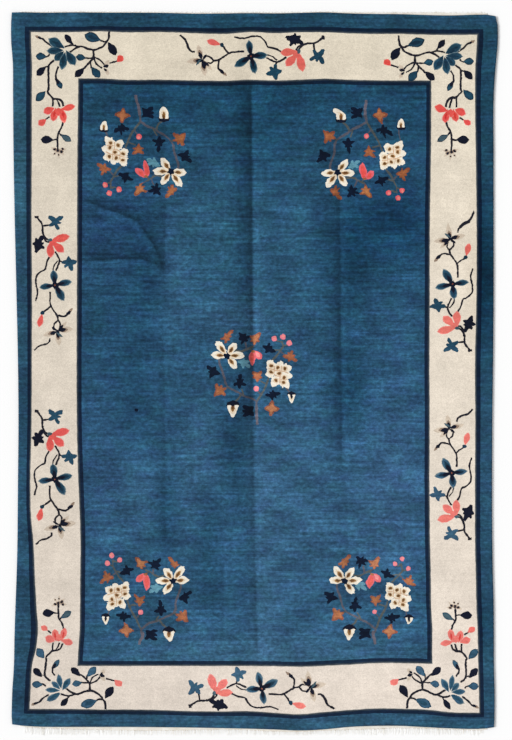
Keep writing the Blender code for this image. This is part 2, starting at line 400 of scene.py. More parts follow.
# The field's flower sprays: one in each quarter of the field and one in the middle. The weaver
# turned the middle one over for the others and set each of its parts a little differently, so the
# place of every part is given for every spray, in centimetres on the straight drawing. What is
# drawn within a part's reach goes with that part.
Part = namedtuple("Part", "name reach head_left head_right middle foot_left foot_right")
SPRAY_PARTS = (
    Part("root", 0.3, (-45.7, 106.1), (42.8, 104.2), (1.7, -19.4), (-44.5, -103.6), (45.9, -104.7)),
    Part("fork", 0.3, (-43.6, 96.2), (42.8, 96.0), (1.3, -10.8), (-44.0, -98.0), (45.8, -98.9)),
    Part("leaf_a", 1.2, (-31.5, 69.7), (31.2, 68.9), (-10.0, 13.8), (-31.1, -73.5), (34.4, -72.9)),
    Part("leaf_b", 1.2, (-37.5, 70.1), (37.7, 69.3), (-3.6, 13.4), (-38.6, -73.3), (40.8, -72.7)),
    Part("leaf_c", 1.2, (-43.5, 70.6), (42.9, 69.6), (0.7, 12.9), (-44.2, -73.3), (45.9, -74.1)),
    Part("leaf_d", 1.2, (-49.2, 74.9), (48.9, 73.5), (5.9, 9.6), (-49.7, -75.7), (50.8, -77.8)),
    Part("leaf_e", 1.2, (-57.3, 77.7), (56.7, 76.2), (14.2, 6.5), (-57.1, -78.2), (59.0, -80.6)),
    Part("leaf_f", 1.2, (-38.2, 80.2), (37.3, 79.2), (-3.9, 4.1), (-38.0, -82.1), (39.7, -81.5)),
    Part("leaf_g", 1.2, (-26.3, 83.0), (26.3, 82.7), (-15.4, 0.6), (-27.3, -85.8), (28.8, -86.1)),
    Part("leaf_h", 1.2, (-36.4, 88.1), (35.9, 87.5), (-5.1, -3.6), (-36.4, -90.5), (38.2, -89.6)),
    Part("leaf_i", 1.2, (-44.2, 85.7), (43.9, 84.7), (1.6, -1.4), (-44.6, -87.4), (46.2, -88.2)),
    Part("leaf_j", 1.2, (-28.6, 89.5), (28.6, 90.0), (-12.7, -6.4), (-28.3, -93.0), (31.6, -92.7)),
    Part("leaf_k", 1.2, (-50.8, 93.5), (49.3, 93.0), (7.5, -8.2), (-50.8, -93.1), (52.1, -94.8)),
    Part("leaf_l", 1.2, (-41.3, 99.6), (39.5, 99.6), (-1.4, -14.6), (-40.6, -100.2), (42.1, -100.4)),
    Part("leaf_m", 1.2, (-50.5, 98.6), (47.8, 98.8), (7.0, -13.5), (-49.6, -98.6), (51.2, -100.1)),
    Part("flower", 6.0, (-31.8, 77.1), (31.9, 76.4), (-10.0, 6.7), (-31.7, -79.6), (34.3, -80.0)),
    Part("cluster", 6.0, (-53.1, 84.4), (52.8, 83.1), (9.9, -0.1), (-53.3, -85.2), (54.9, -86.4)),
    Part("tulip", 1.5, (-41.8, 75.3), (42.9, 74.4), (0.6, 8.1), (-42.9, -77.2), (45.5, -78.1)),
    Part("bud", 1.5, (-34.7, 97.6), (33.1, 97.0), (-7.8, -12.4), (-33.3, -99.0), (35.8, -98.6)),
    Part("bud_tip", 0.5, (-34.5, 101.8), (30.6, 100.9), (-8.2, -17.0), (-32.3, -102.9), (35.2, -102.8)),
    Part("budlet", 1.0, (-57.6, 92.7), (56.0, 94.2), (14.7, -8.2), (-57.7, -93.4), (58.8, -94.7)),
    Part("budlet_tip", 0.4, (-57.7, 96.3), (56.6, 97.8), (15.1, -11.9), (-58.0, -96.7), (58.9, -97.6)),
    Part("berry_a", 1.0, (-56.9, 71.6), (56.7, 69.8), (13.9, 11.6), (-57.1, -72.9), (58.9, -75.7)),
    Part("berry_b", 1.0, (-55.3, 68.5), (55.3, 67.0), (11.4, 14.0), (-55.5, -69.9), (56.6, -72.0)),
    Part("berry_c", 1.0, (-51.6, 70.1), (51.6, 68.9), (8.1, 13.3), (-52.4, -71.6), (53.9, -74.0)),
    Part("dot", 1.0, (-44.1, 90.4), (42.8, 90.7), (1.2, -6.0), (-44.2, -91.6), (45.7, -92.4)),
)
drawn_at = {part.name: np.array(part.middle) for part in SPRAY_PARTS}


# Its cut leaves: the yarn, that of the heart if there is one, and each lobe's direction and length.
Leaf = namedtuple("Leaf", "part yarn heart lobes")
SPRAY_LEAVES = (
    Leaf("leaf_a", "rust_deep", "rust",
         ((52, 3.5), (14, 1.7), (118, 1.7), (196, 2.4), (252, 2.3), (310, 1.6))),
    Leaf("leaf_b", "ink_field", None,
         ((132, 2.8), (62, 2.0), (14, 2.4), (196, 2.1), (250, 2.5), (318, 2.1))),
    Leaf("leaf_c", "rust_deep", "camel", ((52, 3.3), (146, 2.3), (264, 2.3), (336, 1.9), (205, 1.9))),
    Leaf("leaf_d", "ink_field", None, ((163, 2.5), (82, 2.0), (-28, 3.0), (236, 2.1), (28, 1.6))),
    Leaf("leaf_e", "rust_deep", "rust",
         ((178, 2.7), (66, 2.5), (-38, 3.3), (258, 2.0), (14, 1.9), (120, 1.7))),
    Leaf("leaf_f", "sky", None, ((-36, 3.3), (6, 2.5), (-88, 2.2), (168, 2.1), (70, 1.5))),
    Leaf("leaf_g", "ink_field", None, ((136, 3.1), (60, 2.3), (-12, 2.9), (-112, 2.6), (180, 1.7))),
    Leaf("leaf_h", "ink_field", None,
         ((86, 3.3), (38, 1.8), (134, 1.8), (204, 2.5), (268, 2.5), (-24, 2.6))),
    Leaf("leaf_i", "rust_deep", "rust", ((134, 2.6), (50, 2.6), (-8, 1.9), (-90, 2.1), (188, 1.9))),
    Leaf("leaf_j", "rust_deep", "rust", ((126, 2.9), (14, 2.5), (70, 2.0), (225, 3.2), (-44, 2.9))),
    Leaf("leaf_k", "ink_field", None,
         ((178, 2.7), (12, 3.0), (84, 1.9), (266, 2.1), (-40, 1.9), (135, 1.7))),
    Leaf("leaf_l", "ink_field", None, ((140, 3.2), (180, 2.7), (220, 3.2), (48, 2.4), (-46, 2.5))),
    Leaf("leaf_m", "rust_deep", "camel", ((178, 2.8), (84, 3.0), (-4, 3.0), (264, 2.7))),
)

# Its twigs, as they run in the middle spray.
Twig = namedtuple("Twig", "yarn width line")
SPRAY_TWIGS = (
    Twig("twig_pale", 1.00, ((1.6, -19.7), (1.3, -16.3), (1.3, -13.0))),
    Twig("twig", 0.85, ((1.3, -13.8), (1.3, -11.6), (1.4, -10.5))),
    Twig("twig_warm", 0.75, ((1.4, -10.8), (2.7, -8.9), (4.1, -6.7), (5.2, -4.2), (6.0, -1.8))),
    Twig("twig", 0.80, ((1.4, -10.8), (-0.8, -9.7), (-3.6, -8.8), (-5.5, -7.5), (-7.7, -6.4),
                        (-9.6, -5.3), (-10.7, -3.4))),
    Twig("twig", 0.85, ((-10.5, -4.0), (-11.2, -1.0), (-12.0, 1.5), (-12.9, 4.2), (-12.7, 6.2))),
    Twig("twig_warm", 0.70, ((-4.7, -8.3), (-5.7, -10.0), (-7.1, -11.2), (-7.9, -12.6))),
    Twig("twig_warm", 0.65, ((-9.6, -5.3), (-11.1, -6.2))),
    Twig("twig", 0.60, ((12.6, -5.3), (13.8, -7.1), (14.6, -8.3))),
    Twig("twig_warm", 0.75, ((7.4, 5.1), (9.3, 7.1), (10.7, 9.2), (11.6, 10.5), (10.9, 12.4))),
    Twig("twig_warm", 0.60, ((11.5, 10.5), (13.4, 11.1))),
    Twig("twig_warm", 0.55, ((10.9, 12.0), (8.5, 12.7))),
    Twig("twig", 0.60, ((10.4, 8.5), (12.3, 7.1))),
    Twig("twig_warm", 0.60, ((10.5, 8.9), (7.9, 8.9))),
    Twig("twig_warm", 0.80, ((-7.1, 8.9), (-4.7, 8.3), (-2.5, 9.0), (-0.0, 10.0))),
    Twig("twig", 0.60, ((-2.5, 9.0), (-2.9, 11.6))),
    Twig("twig", 0.60, ((-0.0, 10.0), (0.8, 11.3))),
    Twig("twig_warm", 0.60, ((-1.1, 9.6), (-0.0, 7.8))),
    Twig("twig_warm", 0.55, ((5.2, -4.2), (2.7, -2.9))),
    Twig("twig", 0.55, ((3.0, -8.3), (1.4, -6.4))),
    Twig("twig_warm", 0.55, ((-3.6, -8.8), (-4.4, -6.2))),
)

# Its two white flowers, from the middle of each: the tips of the petals, and the florets and seams
# of the crowded one.
PETAL_TIPS = ((-4.2, 5.8), (3.6, 5.0), (6.9, 0.0), (3.8, -5.1), (-6.1, 0.5))
CLUSTER_CELLS = ((-2.9, 3.0), (-0.4, 2.3), (2.3, 1.9), (-3.0, 0.6), (0.1, 0.1), (2.0, -1.5),
                 (-1.1, -2.6), (1.8, -3.3))
CLUSTER_TIPS = ((-4.3, 5.2), (0.9, 4.9), (4.7, 3.0), (-5.2, -0.3), (5.3, -1.2), (-2.7, -4.9), (3.8, -5.7))
CLUSTER_SEAMS = (
    ((-1.8, 2.9), (-1.7, 1.4), (-2.0, 0.1)),
    ((1.0, 3.1), (1.0, 0.8)),
    ((-4.0, 1.8), (-1.8, 1.7)),
    ((-1.8, 1.2), (0.9, 1.1), (3.6, 0.2)),
    ((-2.0, 0.0), (-0.7, -1.0), (0.7, -0.9)),
    ((1.0, 0.4), (0.4, -1.3), (0.3, -3.8)),
    ((0.6, -2.3), (3.3, -2.3)),
)


FRAYED = 0.0024


def open_flower(put):
    """The white flower: blunt petals with a brown patch in each, round a dark eye."""
    x, y = drawn_at["flower"]
    for reach_x, reach_y in PETAL_TIPS:
        petal((x, y), (x + reach_x, y + reach_y), 2.9, "ivory", put, 0.58, 0.62, FRAYED)
    for reach_x, reach_y in PETAL_TIPS:
        petal((x, y), (x + 0.78 * reach_x, y + 0.78 * reach_y), 1.9, "ivory_shade", put, 0.55)
        for yarn, near, far, width in (("cell", 0.20, 0.66, 1.35), ("cell_deep", 0.27, 0.56, 0.65)):
            petal((x + near * reach_x, y + near * reach_y), (x + far * reach_x, y + far * reach_y),
                  width, yarn, put)
    lobed((x, y), ((10, 1.5), (82, 1.3), (154, 1.5), (226, 1.3), (298, 1.5)), "ink_field", put, 0.75)


def cluster(put):
    """The crowded white blossom: one ragged patch, seams between its florets, a brown heart in each."""
    x, y = drawn_at["cluster"]
    for cell_x, cell_y in CLUSTER_CELLS:
        floret = [(angle, 2.0) for angle in range(20, 380, 60)]
        lobed((x + cell_x, y + cell_y), floret, "ivory", put, 0.86, FRAYED)
    for tip_x, tip_y in CLUSTER_TIPS:
        petal((x + 0.25 * tip_x, y + 0.25 * tip_y), (x + tip_x, y + tip_y), 2.7, "ivory", put, 0.58,
              0.7, FRAYED)
    for cell_x, cell_y in CLUSTER_CELLS:
        disc((x + cell_x, y + cell_y), 1.25, 1.15, "ivory_shade", put)
    for line in CLUSTER_SEAMS:
        stem([(x + seam_x, y + seam_y) for seam_x, seam_y in line], "seam", put, 0.40)
    for k, (cell_x, cell_y) in enumerate(CLUSTER_CELLS):
        disc((x + cell_x, y + cell_y), 0.80, 0.62, "cell", put, 50 * k)
        disc((x + cell_x, y + cell_y), 0.42, 0.30, "cell_deep", put, 50 * k)


def bud(name, width, length, put, egg):
    """A flower bud hanging from a dark calyx: an egg, or a cone that closes to a blunt point."""
    x, y = drawn_at[name]
    half = width / 2
    cone = ((0.94, 0.20), (1.02, -0.04), (0.84, -0.32), (0.56, -0.62), (0.30, -0.90), (0.14, -1.0))
    oval = ((0.90, 0.20), (0.98, -0.08), (0.96, -0.38), (0.78, -0.70), (0.46, -0.95), (0.16, -1.04))
    right_side = oval if egg else cone
    left_side = [(-across, down) for across, down in right_side[::-1]]
    outline = [(x + half * across, y + length * down) for across, down in [*right_side, *left_side]]
    patch(outline, "ivory", put)
    petal((x, y), (x, y - 0.74 * length), 0.56 * width, "ivory_shade", put)
    heart = ("cell", "cell_deep") if egg or name == "bud" else ("ink", "ink")
    petal((x, y + 0.20 * length), (x, y - 0.54 * length), 0.34 * width, heart[0], put, 0.50, blunt=0.6)
    petal((x, y + 0.15 * length), (x, y - 0.32 * length), 0.16 * width, heart[1], put)
    spread = 1.28 if name == "bud" else 1.50
    dome, notch = (0.36, 0.04) if egg else (0.46, -0.06)
    calyx = ((-spread, -0.06), (-0.98, 0.26), (0.0, dome), (0.98, 0.26), (spread, -0.06), (0.72, 0.06),
             (0.0, notch), (-0.72, 0.06))
    patch([(x + half * across, y + length * up) for across, up in calyx], "ink", put)


def field_spray(put, flush, berry, size, egg):
    """A whole spray, with its dye lots, the size of its berries, and eggs or cones for buds."""
    for twig in SPRAY_TWIGS:
        stem(twig.line, twig.yarn, put, twig.width)
    for leaf in SPRAY_LEAVES:
        place = drawn_at[leaf.part]
        lobed(place, leaf.lobes, leaf.yarn, put, 0.57)
        if leaf.heart:
            inner = [(angle, 0.74 * reach) for angle, reach in leaf.lobes]
            lobed(place, inner, leaf.heart, put, 0.56)
    open_flower(put)
    cluster(put)
    x, y = drawn_at["tulip"]
    petal((x - 0.1, y + 0.5), (x + 2.6, y - 2.7), 2.5, "pink", put, 0.60, blunt=0.6)
    petal((x + 0.3, y + 0.1), (x + 2.0, y - 2.0), 1.5, flush, put, 0.60)
    petal((x - 0.9, y + 0.4), (x - 0.9, y - 5.5), 2.5, "pink", put, 0.45)
    petal((x - 0.9, y - 0.1), (x - 0.9, y - 4.7), 1.7, "coral", put, 0.45)
    disc((x - 0.5, y + 0.1), 0.7, 0.5, "rust", put)
    for name in ("berry_a", "berry_b", "berry_c", "dot"):
        disc(drawn_at[name], 1.05 * size, 1.08 * size, berry, put)
        disc(drawn_at[name] + 0.2, 0.55 * size, 0.60 * size, "coral_pale", put)
    bud("bud", 3.7 if egg else 4.3, 4.5, put, egg)
    bud("budlet", 2.8, 3.2, put, egg)


# The five sprays: which way each is turned across and along the carpet, the yarns of its tulip and
# berries, the size of the berries, and whether its buds are eggs or cones.
Spray = namedtuple("Spray", "which across along flush berry size egg")
SPRAYS = (
    Spray("head_left", -1, -1, "coral", "pink", 1.0, True),
    Spray("head_right", 1, -1, "coral", "pink", 0.95, True),
    Spray("middle", 1, 1, "pink_pale", "pink_dusty", 1.0, False),
    Spray("foot_left", -1, 1, "coral", "pink_dusty", 0.95, False),
    Spray("foot_right", 1, 1, "pink_pale", "pink_dusty", 0.85, False),
)
LEAST_AWAY = 0.15


def spray_place(row):
    """Each part of a spray takes what is drawn near it along to its own place."""
    drawn = np.array([part.middle for part in SPRAY_PARTS])
    woven = np.array([getattr(part, row.which) for part in SPRAY_PARTS])
    reach = np.array([part.reach for part in SPRAY_PARTS])

    def put(points):
        away = points[:, None] - drawn
        pull = np.maximum(np.linalg.norm(away, axis=2) - reach, LEAST_AWAY) ** -3
        turned = woven + away * np.array((row.across, row.along))
        return (turned * pull[:, :, None]).sum(axis=1) / pull.sum(axis=1)[:, None] * CM

    return put


for row in SPRAYS:
    field_spray(spray_place(row), row.flush, row.berry, row.size, row.egg)

# The border's long branch. The first number runs from the outer guard line towards the field,
# the second along the border, in centimetres.
BRANCH_STEMS = (
    (0.85, ((1.4, -25.4), (2.9, -25.5))),
    (0.55, ((2.2, -25.4), (4.2, -22.6), (4.4, -19.4), (5.6, -17.3), (7.2, -16.6))),
    (0.50, ((4.5, -19.8), (4.9, -17.6), (6.0, -16.0), (7.6, -15.9))),
    (0.45, ((4.4, -22.0), (7.2, -22.4))),
    (0.45, ((7.1, -10.4), (5.9, -8.1), (5.4, -5.6), (3.6, -4.6), (1.9, -2.8), (1.7, 0.0),
            (2.4, 3.4), (1.5, 6.7))),
    (0.50, ((9.2, -12.2), (10.9, -8.8), (9.4, -4.9))),
    (0.30, ((10.2, -8.8), (8.7, -6.8), (8.4, -4.9))),
    (0.40, ((10.9, -8.6), (12.8, -8.2))),
    (0.50, ((7.2, 3.0), (7.2, 7.0), (7.8, 9.0), (9.9, 12.2), (10.3, 14.0))),
    (0.45, ((7.5, 8.6), (5.8, 10.0), (4.2, 10.9))),
    (0.50, ((9.8, 12.0), (12.6, 12.5), (14.0, 11.7))),
    (0.45, ((10.3, 14.0), (8.9, 15.4), (8.6, 17.2))),
    (0.45, ((10.2, 13.8), (11.2, 15.2), (10.9, 17.2))),
    (0.45, ((7.2, 20.8), (6.9, 22.2), (5.2, 23.2), (2.9, 23.8), (1.1, 25.4))),
)
Petal = namedtuple("Petal", "yarn base tip width")
BRANCH_PETALS = (
    Petal("coral", (8.2, -15.9), (12.6, -12.0), 3.2),
    Petal("coral", (7.4, -16.4), (14.9, -18.2), 3.2),
    Petal("coral", (7.2, -16.2), (7.5, -9.9), 3.1),
    Petal("teal", (9.2, 0.8), (8.4, -5.4), 2.9),
    Petal("teal", (9.2, 0.6), (3.0, 1.4), 2.5),
    Petal("teal", (9.0, 0.5), (15.7, -0.9), 2.7),
    Petal("teal", (9.0, 0.2), (12.7, 6.6), 3.1),
    Petal("coral", (4.2, 11.4), (2.8, 16.6), 2.4),
    Petal("taupe_pale", (10.2, 18.0), (16.2, 17.2), 2.2),
    Petal("taupe_pale", (10.0, 18.4), (4.4, 19.8), 2.1),
    Petal("taupe_pale", (10.1, 18.2), (10.9, 23.6), 2.2),
    Petal("taupe_pale", (10.1, 18.2), (13.8, 14.6), 1.6),
    Petal("taupe", (10.2, 18.0), (14.4, 17.4), 1.8),
    Petal("taupe", (9.8, 18.4), (6.2, 19.3), 1.6),
    Petal("taupe", (10.1, 18.2), (10.6, 21.6), 1.7),
    Petal("taupe", (10.1, 18.2), (12.6, 15.6), 1.2),
    Petal("ink", (10.2, 18.1), (13.5, 17.3), 1.6),
    Petal("ink", (10.0, 18.3), (7.2, 19.3), 1.5),
    Petal("ink", (10.1, 17.4), (10.5, 20.8), 1.5),
    Petal("ink", (10.3, 17.9), (12.4, 15.7), 1.1),
    Petal("ink", (10.2, 18.2), (7.9, 16.6), 1.0),
    Petal("slate", (9.6, 18.6), (12.2, 20.4), 0.9),
    Petal("taupe", (14.0, 11.6), (16.0, 9.2), 1.1),
    Petal("ink", (13.2, 12.0), (15.4, 10.4), 1.3),
)
Lobed = namedtuple("Lobed", "yarn x y waist lobes")
BRANCH_LEAVES = (
    Lobed("teal", 9.3, -23.5, 0.44, ((222, 3.5), (-37, 3.6), (66, 3.2), (148, 2.9), (10, 2.2))),
    Lobed("teal", 14.5, -8.0, 0.54, ((183, 2.9), (264, 2.6), (-8, 3.1), (68, 3.2), (132, 2.4))),
    Lobed("ink", 2.9, -15.1, 0.66, ((-66, 3.5), (185, 2.5), (112, 3.4), (38, 2.6), (240, 2.6), (-12, 2.0))),
)


# By how many centimetres the dark stems came out wider than they are listed.
FULLER = 0.22


def branch(put, teal, flush):
    """A long branch, in the dye lots that its teal and coral had."""
    for width, points in BRANCH_STEMS:
        stem(points, "bark", put, width + FULLER)
    for leaf in BRANCH_LEAVES:
        lobed((leaf.x, leaf.y), leaf.lobes, teal if leaf.yarn == "teal" else leaf.yarn, put, leaf.waist)
    for row in BRANCH_PETALS:
        if row.yarn == "coral":
            rimmed(row.base, row.tip, row.width, "coral_pale", flush, put)
        elif row.yarn == "teal":
            rimmed(row.base, row.tip, row.width, "teal_rim", teal, put)
        else:
            petal(row.base, row.tip, row.width, row.yarn, put)
    for row in BRANCH_PETALS:
        if row.yarn == "teal":
            base, tip = np.array(row.base), np.array(row.tip)
            petal(base, base + 0.80 * (tip - base), 0.62 * row.width, "teal_deep", put)
            petal(base, base + 0.60 * (tip - base), 0.48 * row.width, "ink", put)
    lobed((9.1, 0.6), ((20, 1.5), (98, 1.4), (178, 1.5), (262, 1.6)), "ink", put, 0.8)
    disc((9.1, 0.6), 0.30, 0.30, "rust_deep", put)
    disc((8.5, -15.6), 1.3, 1.2, flush, put)
    disc((7.2, -16.7), 0.95, 0.65, "slate", put)
    disc((4.3, 11.1), 0.85, 0.75, "teal_deep", put)


# Two branches climb each side of the border and one lies along each end. Each row gives the
# motif's place, the directions of its two numbers on the carpet, how much longer the branch and
# its last twig were woven, and the dye lots of its teal and coral. The last twig starts where the
# second number is LAST_TWIG.
Branch = namedtuple("Branch", "x y inward onward long tail teal flush")
BRANCHES = (
    Branch(-BORDER, 0.338, (1, 0), (0, -1), 1.0, 1.0, "teal", "coral"),
    Branch(-BORDER, -0.403, (1, 0), (0, -1), 1.0, 1.0, "teal", "coral"),
    Branch(BORDER, 0.334, (-1, 0), (0, 1), 0.98, 2.2, "teal", "coral_soft"),
    Branch(BORDER, -0.392, (-1, 0), (0, 1), 0.97, 1.2, "teal_blue", "coral_soft"),
    Branch(-0.008, END_BORDER, (0, -1), (-1, 0), 1.06, 1.3, "teal", "coral_soft"),
    Branch(0.020, -END_BORDER, (0, 1), (1, 0), 1.05, 1.5, "teal_blue", "coral_soft"),
)
LAST_TWIG = 22.5


def branch_place(row):
    """Set a branch along its border, with the last twig as long as it was woven there."""
    def put(points):
        along = points[:, 1:] + (row.tail - 1) * np.maximum(points[:, 1:] - LAST_TWIG, 0)
        along = along * row.long * np.array(row.onward)
        return np.array((row.x, row.y)) + (points[:, :1] * np.array(row.inward) + along) * CM

    return put


for row in BRANCHES:
    branch(branch_place(row), row.teal, row.flush)

# The border's corner branch, from the corner of the outer guard line. The first number runs
# across the carpet, the second along it, in centimetres.
CORNER_STEMS = (
    (0.60, ((29.5, 0.2), (29.3, 2.8), (28.5, 4.0), (27.2, 5.7), (24.9, 6.8), (23.4, 7.1), (21.3, 6.6),
            (19.0, 5.7), (17.3, 6.0), (15.6, 7.0), (14.2, 8.2))),
    (0.50, ((18.3, 5.9), (15.6, 5.1), (12.6, 5.7))),
    (0.45, ((15.9, 5.3), (15.2, 4.2))),
    (0.45, ((28.6, 3.9), (27.4, 4.0), (26.0, 3.5))),
    (0.50, ((3.0, 2.3), (4.6, 2.8), (5.9, 4.2), (8.1, 5.6))),
    (0.45, ((6.9, 8.5), (6.5, 9.2), (5.3, 9.7))),
    (0.60, ((8.6, 10.9), (6.9, 12.4), (6.4, 14.2), (6.5, 21.6), (6.1, 23.0), (8.1, 25.4), (10.2, 25.7),
            (11.6, 26.7), (12.1, 28.4))),
    (0.45, ((6.6, 13.2), (5.2, 13.5))),
    (0.50, ((8.1, 25.4), (8.1, 28.6))),
    (0.50, ((9.5, 25.7), (10.3, 27.2), (10.7, 28.7))),
    (0.50, ((10.3, 13.2), (9.3, 15.5), (9.2, 18.6))),
    (0.45, ((6.9, 32.4), (5.3, 33.6))),
    (0.55, ((12.0, 34.2), (11.5, 36.4), (10.2, 39.0), (10.0, 41.4), (10.1, 45.0))),
    (0.45, ((10.0, 41.1), (8.0, 41.4))),
    (0.40, ((10.4, 38.6), (11.4, 39.6))),
    (0.60, ((23.5, 7.1), (23.5, 9.7), (22.2, 11.5), (19.7, 14.2))),
    (0.45, ((22.3, 11.4), (22.7, 14.0))),
    (0.45, ((23.4, 10.2), (20.2, 10.2))),
    (0.45, ((23.6, 10.0), (24.6, 12.4), (26.9, 14.1))),
    (0.45, ((23.7, 9.8), (26.1, 11.0), (27.8, 12.8))),
    (0.45, ((29.6, 12.0), (31.0, 11.5), (32.7, 11.0))),
    (0.40, ((28.2, 12.4), (29.0, 11.6))),
)
CORNER_PETALS = (
    Petal("ink", (29.0, 4.0), (32.2, 8.9), 3.1),
    Petal("teal", (26.4, 3.7), (20.0, 1.2), 3.5),
    Petal("teal_deep", (25.6, 3.2), (21.4, 1.8), 1.4),
    Petal("ink", (15.5, 4.8), (12.7, 1.0), 2.2),
    Petal("teal", (5.8, 9.5), (1.6, 9.4), 2.7),
    Petal("ink", (5.4, 13.2), (1.9, 16.8), 2.6),
    Petal("teal", (5.5, 22.6), (1.7, 26.4), 2.8),
    Petal("teal", (9.2, 17.8), (11.5, 21.8), 1.9),
    Petal("ink", (9.2, 17.6), (10.3, 20.0), 1.2),
    Petal("ink", (8.4, 41.3), (3.4, 41.1), 3.1),
    Petal("slate", (11.0, 39.2), (15.3, 41.9), 2.2),
    Petal("ink", (20.0, 13.8), (16.3, 17.3), 2.6),
    Petal("teal", (22.6, 13.5), (25.9, 17.5), 2.8),
    Petal("teal", (20.6, 10.2), (16.8, 9.5), 2.5),
    Petal("taupe", (3.8, 2.6), (1.6, 1.6), 1.0),
    Petal("ink", (4.4, 2.9), (2.6, 2.0), 0.9),
    Petal("teal_deep", (12.2, 6.4), (9.0, 4.4), 1.3),
    Petal("teal_deep", (11.6, 7.0), (8.0, 7.3), 1.1),
    Petal("teal_deep", (12.2, 8.8), (11.8, 12.4), 1.1),
    Petal("teal_deep", (13.4, 8.2), (15.2, 11.2), 1.4),
    Petal("coral", (8.8, 29.1), (4.5, 30.9), 2.7),
    Petal("coral", (9.3, 28.9), (8.1, 34.3), 2.5),
    Petal("coral", (10.2, 28.9), (10.1, 32.3), 2.4),
    Petal("coral", (11.4, 28.9), (12.6, 34.9), 2.4),
    Petal("coral", (11.2, 29.7), (16.5, 28.3), 2.2),
    Petal("coral_deep", (9.0, 29.8), (8.4, 32.8), 0.8),
    Petal("coral_deep", (11.8, 30.2), (12.3, 33.0), 0.8),
    Petal("coral", (5.6, 33.4), (2.6, 35.6), 2.3),
    Petal("coral", (32.4, 11.4), (34.8, 8.9), 2.3),
    Petal("taupe_pale", (27.6, 13.6), (29.4, 10.8), 1.3),
    Petal("taupe_pale", (28.0, 14.0), (29.2, 16.4), 1.4),
    Petal("ink", (27.2, 13.4), (29.4, 12.9), 1.2),
    Petal("ink", (27.4, 14.0), (28.6, 15.0), 0.8),
)
STAR_PETALS = (
    ((12.6, 6.2), (6.7, 2.7), 3.3),
    ((12.3, 7.0), (6.0, 7.4), 2.7),
    ((12.3, 7.4), (8.8, 11.0), 2.6),
    ((12.7, 7.6), (11.5, 14.4), 2.7),
    ((13.1, 7.0), (16.4, 12.7), 3.1),
)
CORNER_SPOTS = ((8.9, 44.9, 0.80), (10.1, 45.3, 0.90), (11.5, 45.8, 0.85), (12.0, 44.7, 0.70),
                (10.4, 47.0, 0.45), (8.9, 46.6, 0.40))
CORNER_RAYS = ((7.2, 44.2), (8.2, 47.4), (10.6, 48.4), (12.8, 47.2), (13.6, 44.8))


def corner(put, teal, flush, star, gap):
    """A corner branch: its stems and coral petals bend as it strays, other shapes shift whole."""
    def firm(points):
        return put(points, points.mean(axis=0))

    deep = "teal_deep" if teal == "teal" else "teal"
    for width, points in CORNER_STEMS:
        stem(points, "bark", put, width + FULLER)
    petals = []
    for base, tip, width in STAR_PETALS:
        base, tip = np.array(base), np.array(tip)
        petals.append((base, base + (0.55 + 0.45 * star) * (tip - base), star * width + 0.2))
    for base, tip, width in petals:
        petal(base, tip, width + gap, "cream", firm, 0.60, blunt=0.75)
    for base, tip, width in petals:
        rimmed(base, tip, width, "teal_rim", teal, firm)
        petal(base, base + 0.80 * (tip - base), 0.30 * width, deep, firm)
    for row in CORNER_PETALS:
        if row.yarn == "coral":
            rimmed(row.base, row.tip, row.width + 0.4, "coral_pale", flush, put)
        elif row.yarn in ("teal", "slate"):
            base, tip = np.array(row.base), np.array(row.tip)
            petal(base, tip, row.width + 0.2, deep, firm, 0.58, blunt=0.75)
            petal(base + 0.08 * (tip - base), base + 0.92 * (tip - base), row.width - 0.4,
                  teal if row.yarn == "teal" else "slate", firm, 0.60)
        else:
            yarn = deep if row.yarn == "teal_deep" else row.yarn
            petal(row.base, row.tip, row.width + 0.1, yarn, firm, 0.57, blunt=0.8)
    disc((10.4, 30.2), 1.5, 1.0, flush, put)
    for tip in CORNER_RAYS:
        petal((10.2, 45.0), tip, 0.9, "taupe_pale", firm)
    for x, y, size in CORNER_SPOTS:
        disc((x, y), 0.95 * size, 0.75 * size, "taupe", firm)
        turn = math.degrees(math.atan2(y - 44.0, x - 10.2))
        disc((x, y), 0.72 * size, 0.52 * size, "ink", firm, turn)


# No two corners came out alike: each row gives the side and end it stands on, how wide it is, its
# dye lots, how large its star flower is, the gap around that flower's petals, and by how many
# centimetres it strays across and along the carpet at some distances from the corner.
Corner = namedtuple("Corner", "side end wide teal flush star gap across along")
CORNERS = (
    Corner(-1, 1, 1.0, "teal", "coral", 1.06, 0.0, ((0, 0), (35, 0)), ((0, 0), (48, 0))),
    Corner(1, 1, 1.05, "teal", "coral", 1.06, 0.0, ((0, -0.6), (4, -0.9), (35, -0.9)),
           ((0, 0.5), (5, 1.3), (13, 0.8), (20, 0), (25, -1.4), (30, 0), (38, -1.1), (45, 0))),
    Corner(-1, -1, 1.0, "teal_blue", "coral_soft", 0.76, 0.5,
           ((0, -0.6), (3, -1.1), (29, -1.3), (34, -0.4)),
           ((0, 0.0), (2, 0.1), (8, 0.8), (13, 0.8), (17, -0.6), (21, -1.8), (27, -1.9), (30, -1.9),
            (33, -2.1), (39, -3.0), (46, -3.5))),
    Corner(1, -1, 0.98, "teal_blue", "coral_soft", 0.76, 0.5,
           ((0, -0.8), (3, -1.4), (30, -1.7), (35, -0.6)),
           ((0, 0.0), (2, 0.2), (7, 0.6), (14, 0.1), (18, -1.8), (22, -2.7), (28, -2.8), (32, -3.2),
            (37, -3.7), (46, -5.4))),
)


def corner_place(row):
    """Set a branch in its corner: points stray each by its own place, or all by one place, at."""
    def put(points, at=None):
        at = np.array(points if at is None else [at])
        across = points[:, 0] * row.wide + np.interp(at[:, 0], *np.transpose(row.across))
        along = points[:, 1] + np.interp(at[:, 1], *np.transpose(row.along))
        return np.column_stack((row.side * (BORDER - across * CM), row.end * (END_BORDER - along * CM)))

    return put


for row in CORNERS:
    corner(corner_place(row), row.teal, row.flush, row.star, row.gap)

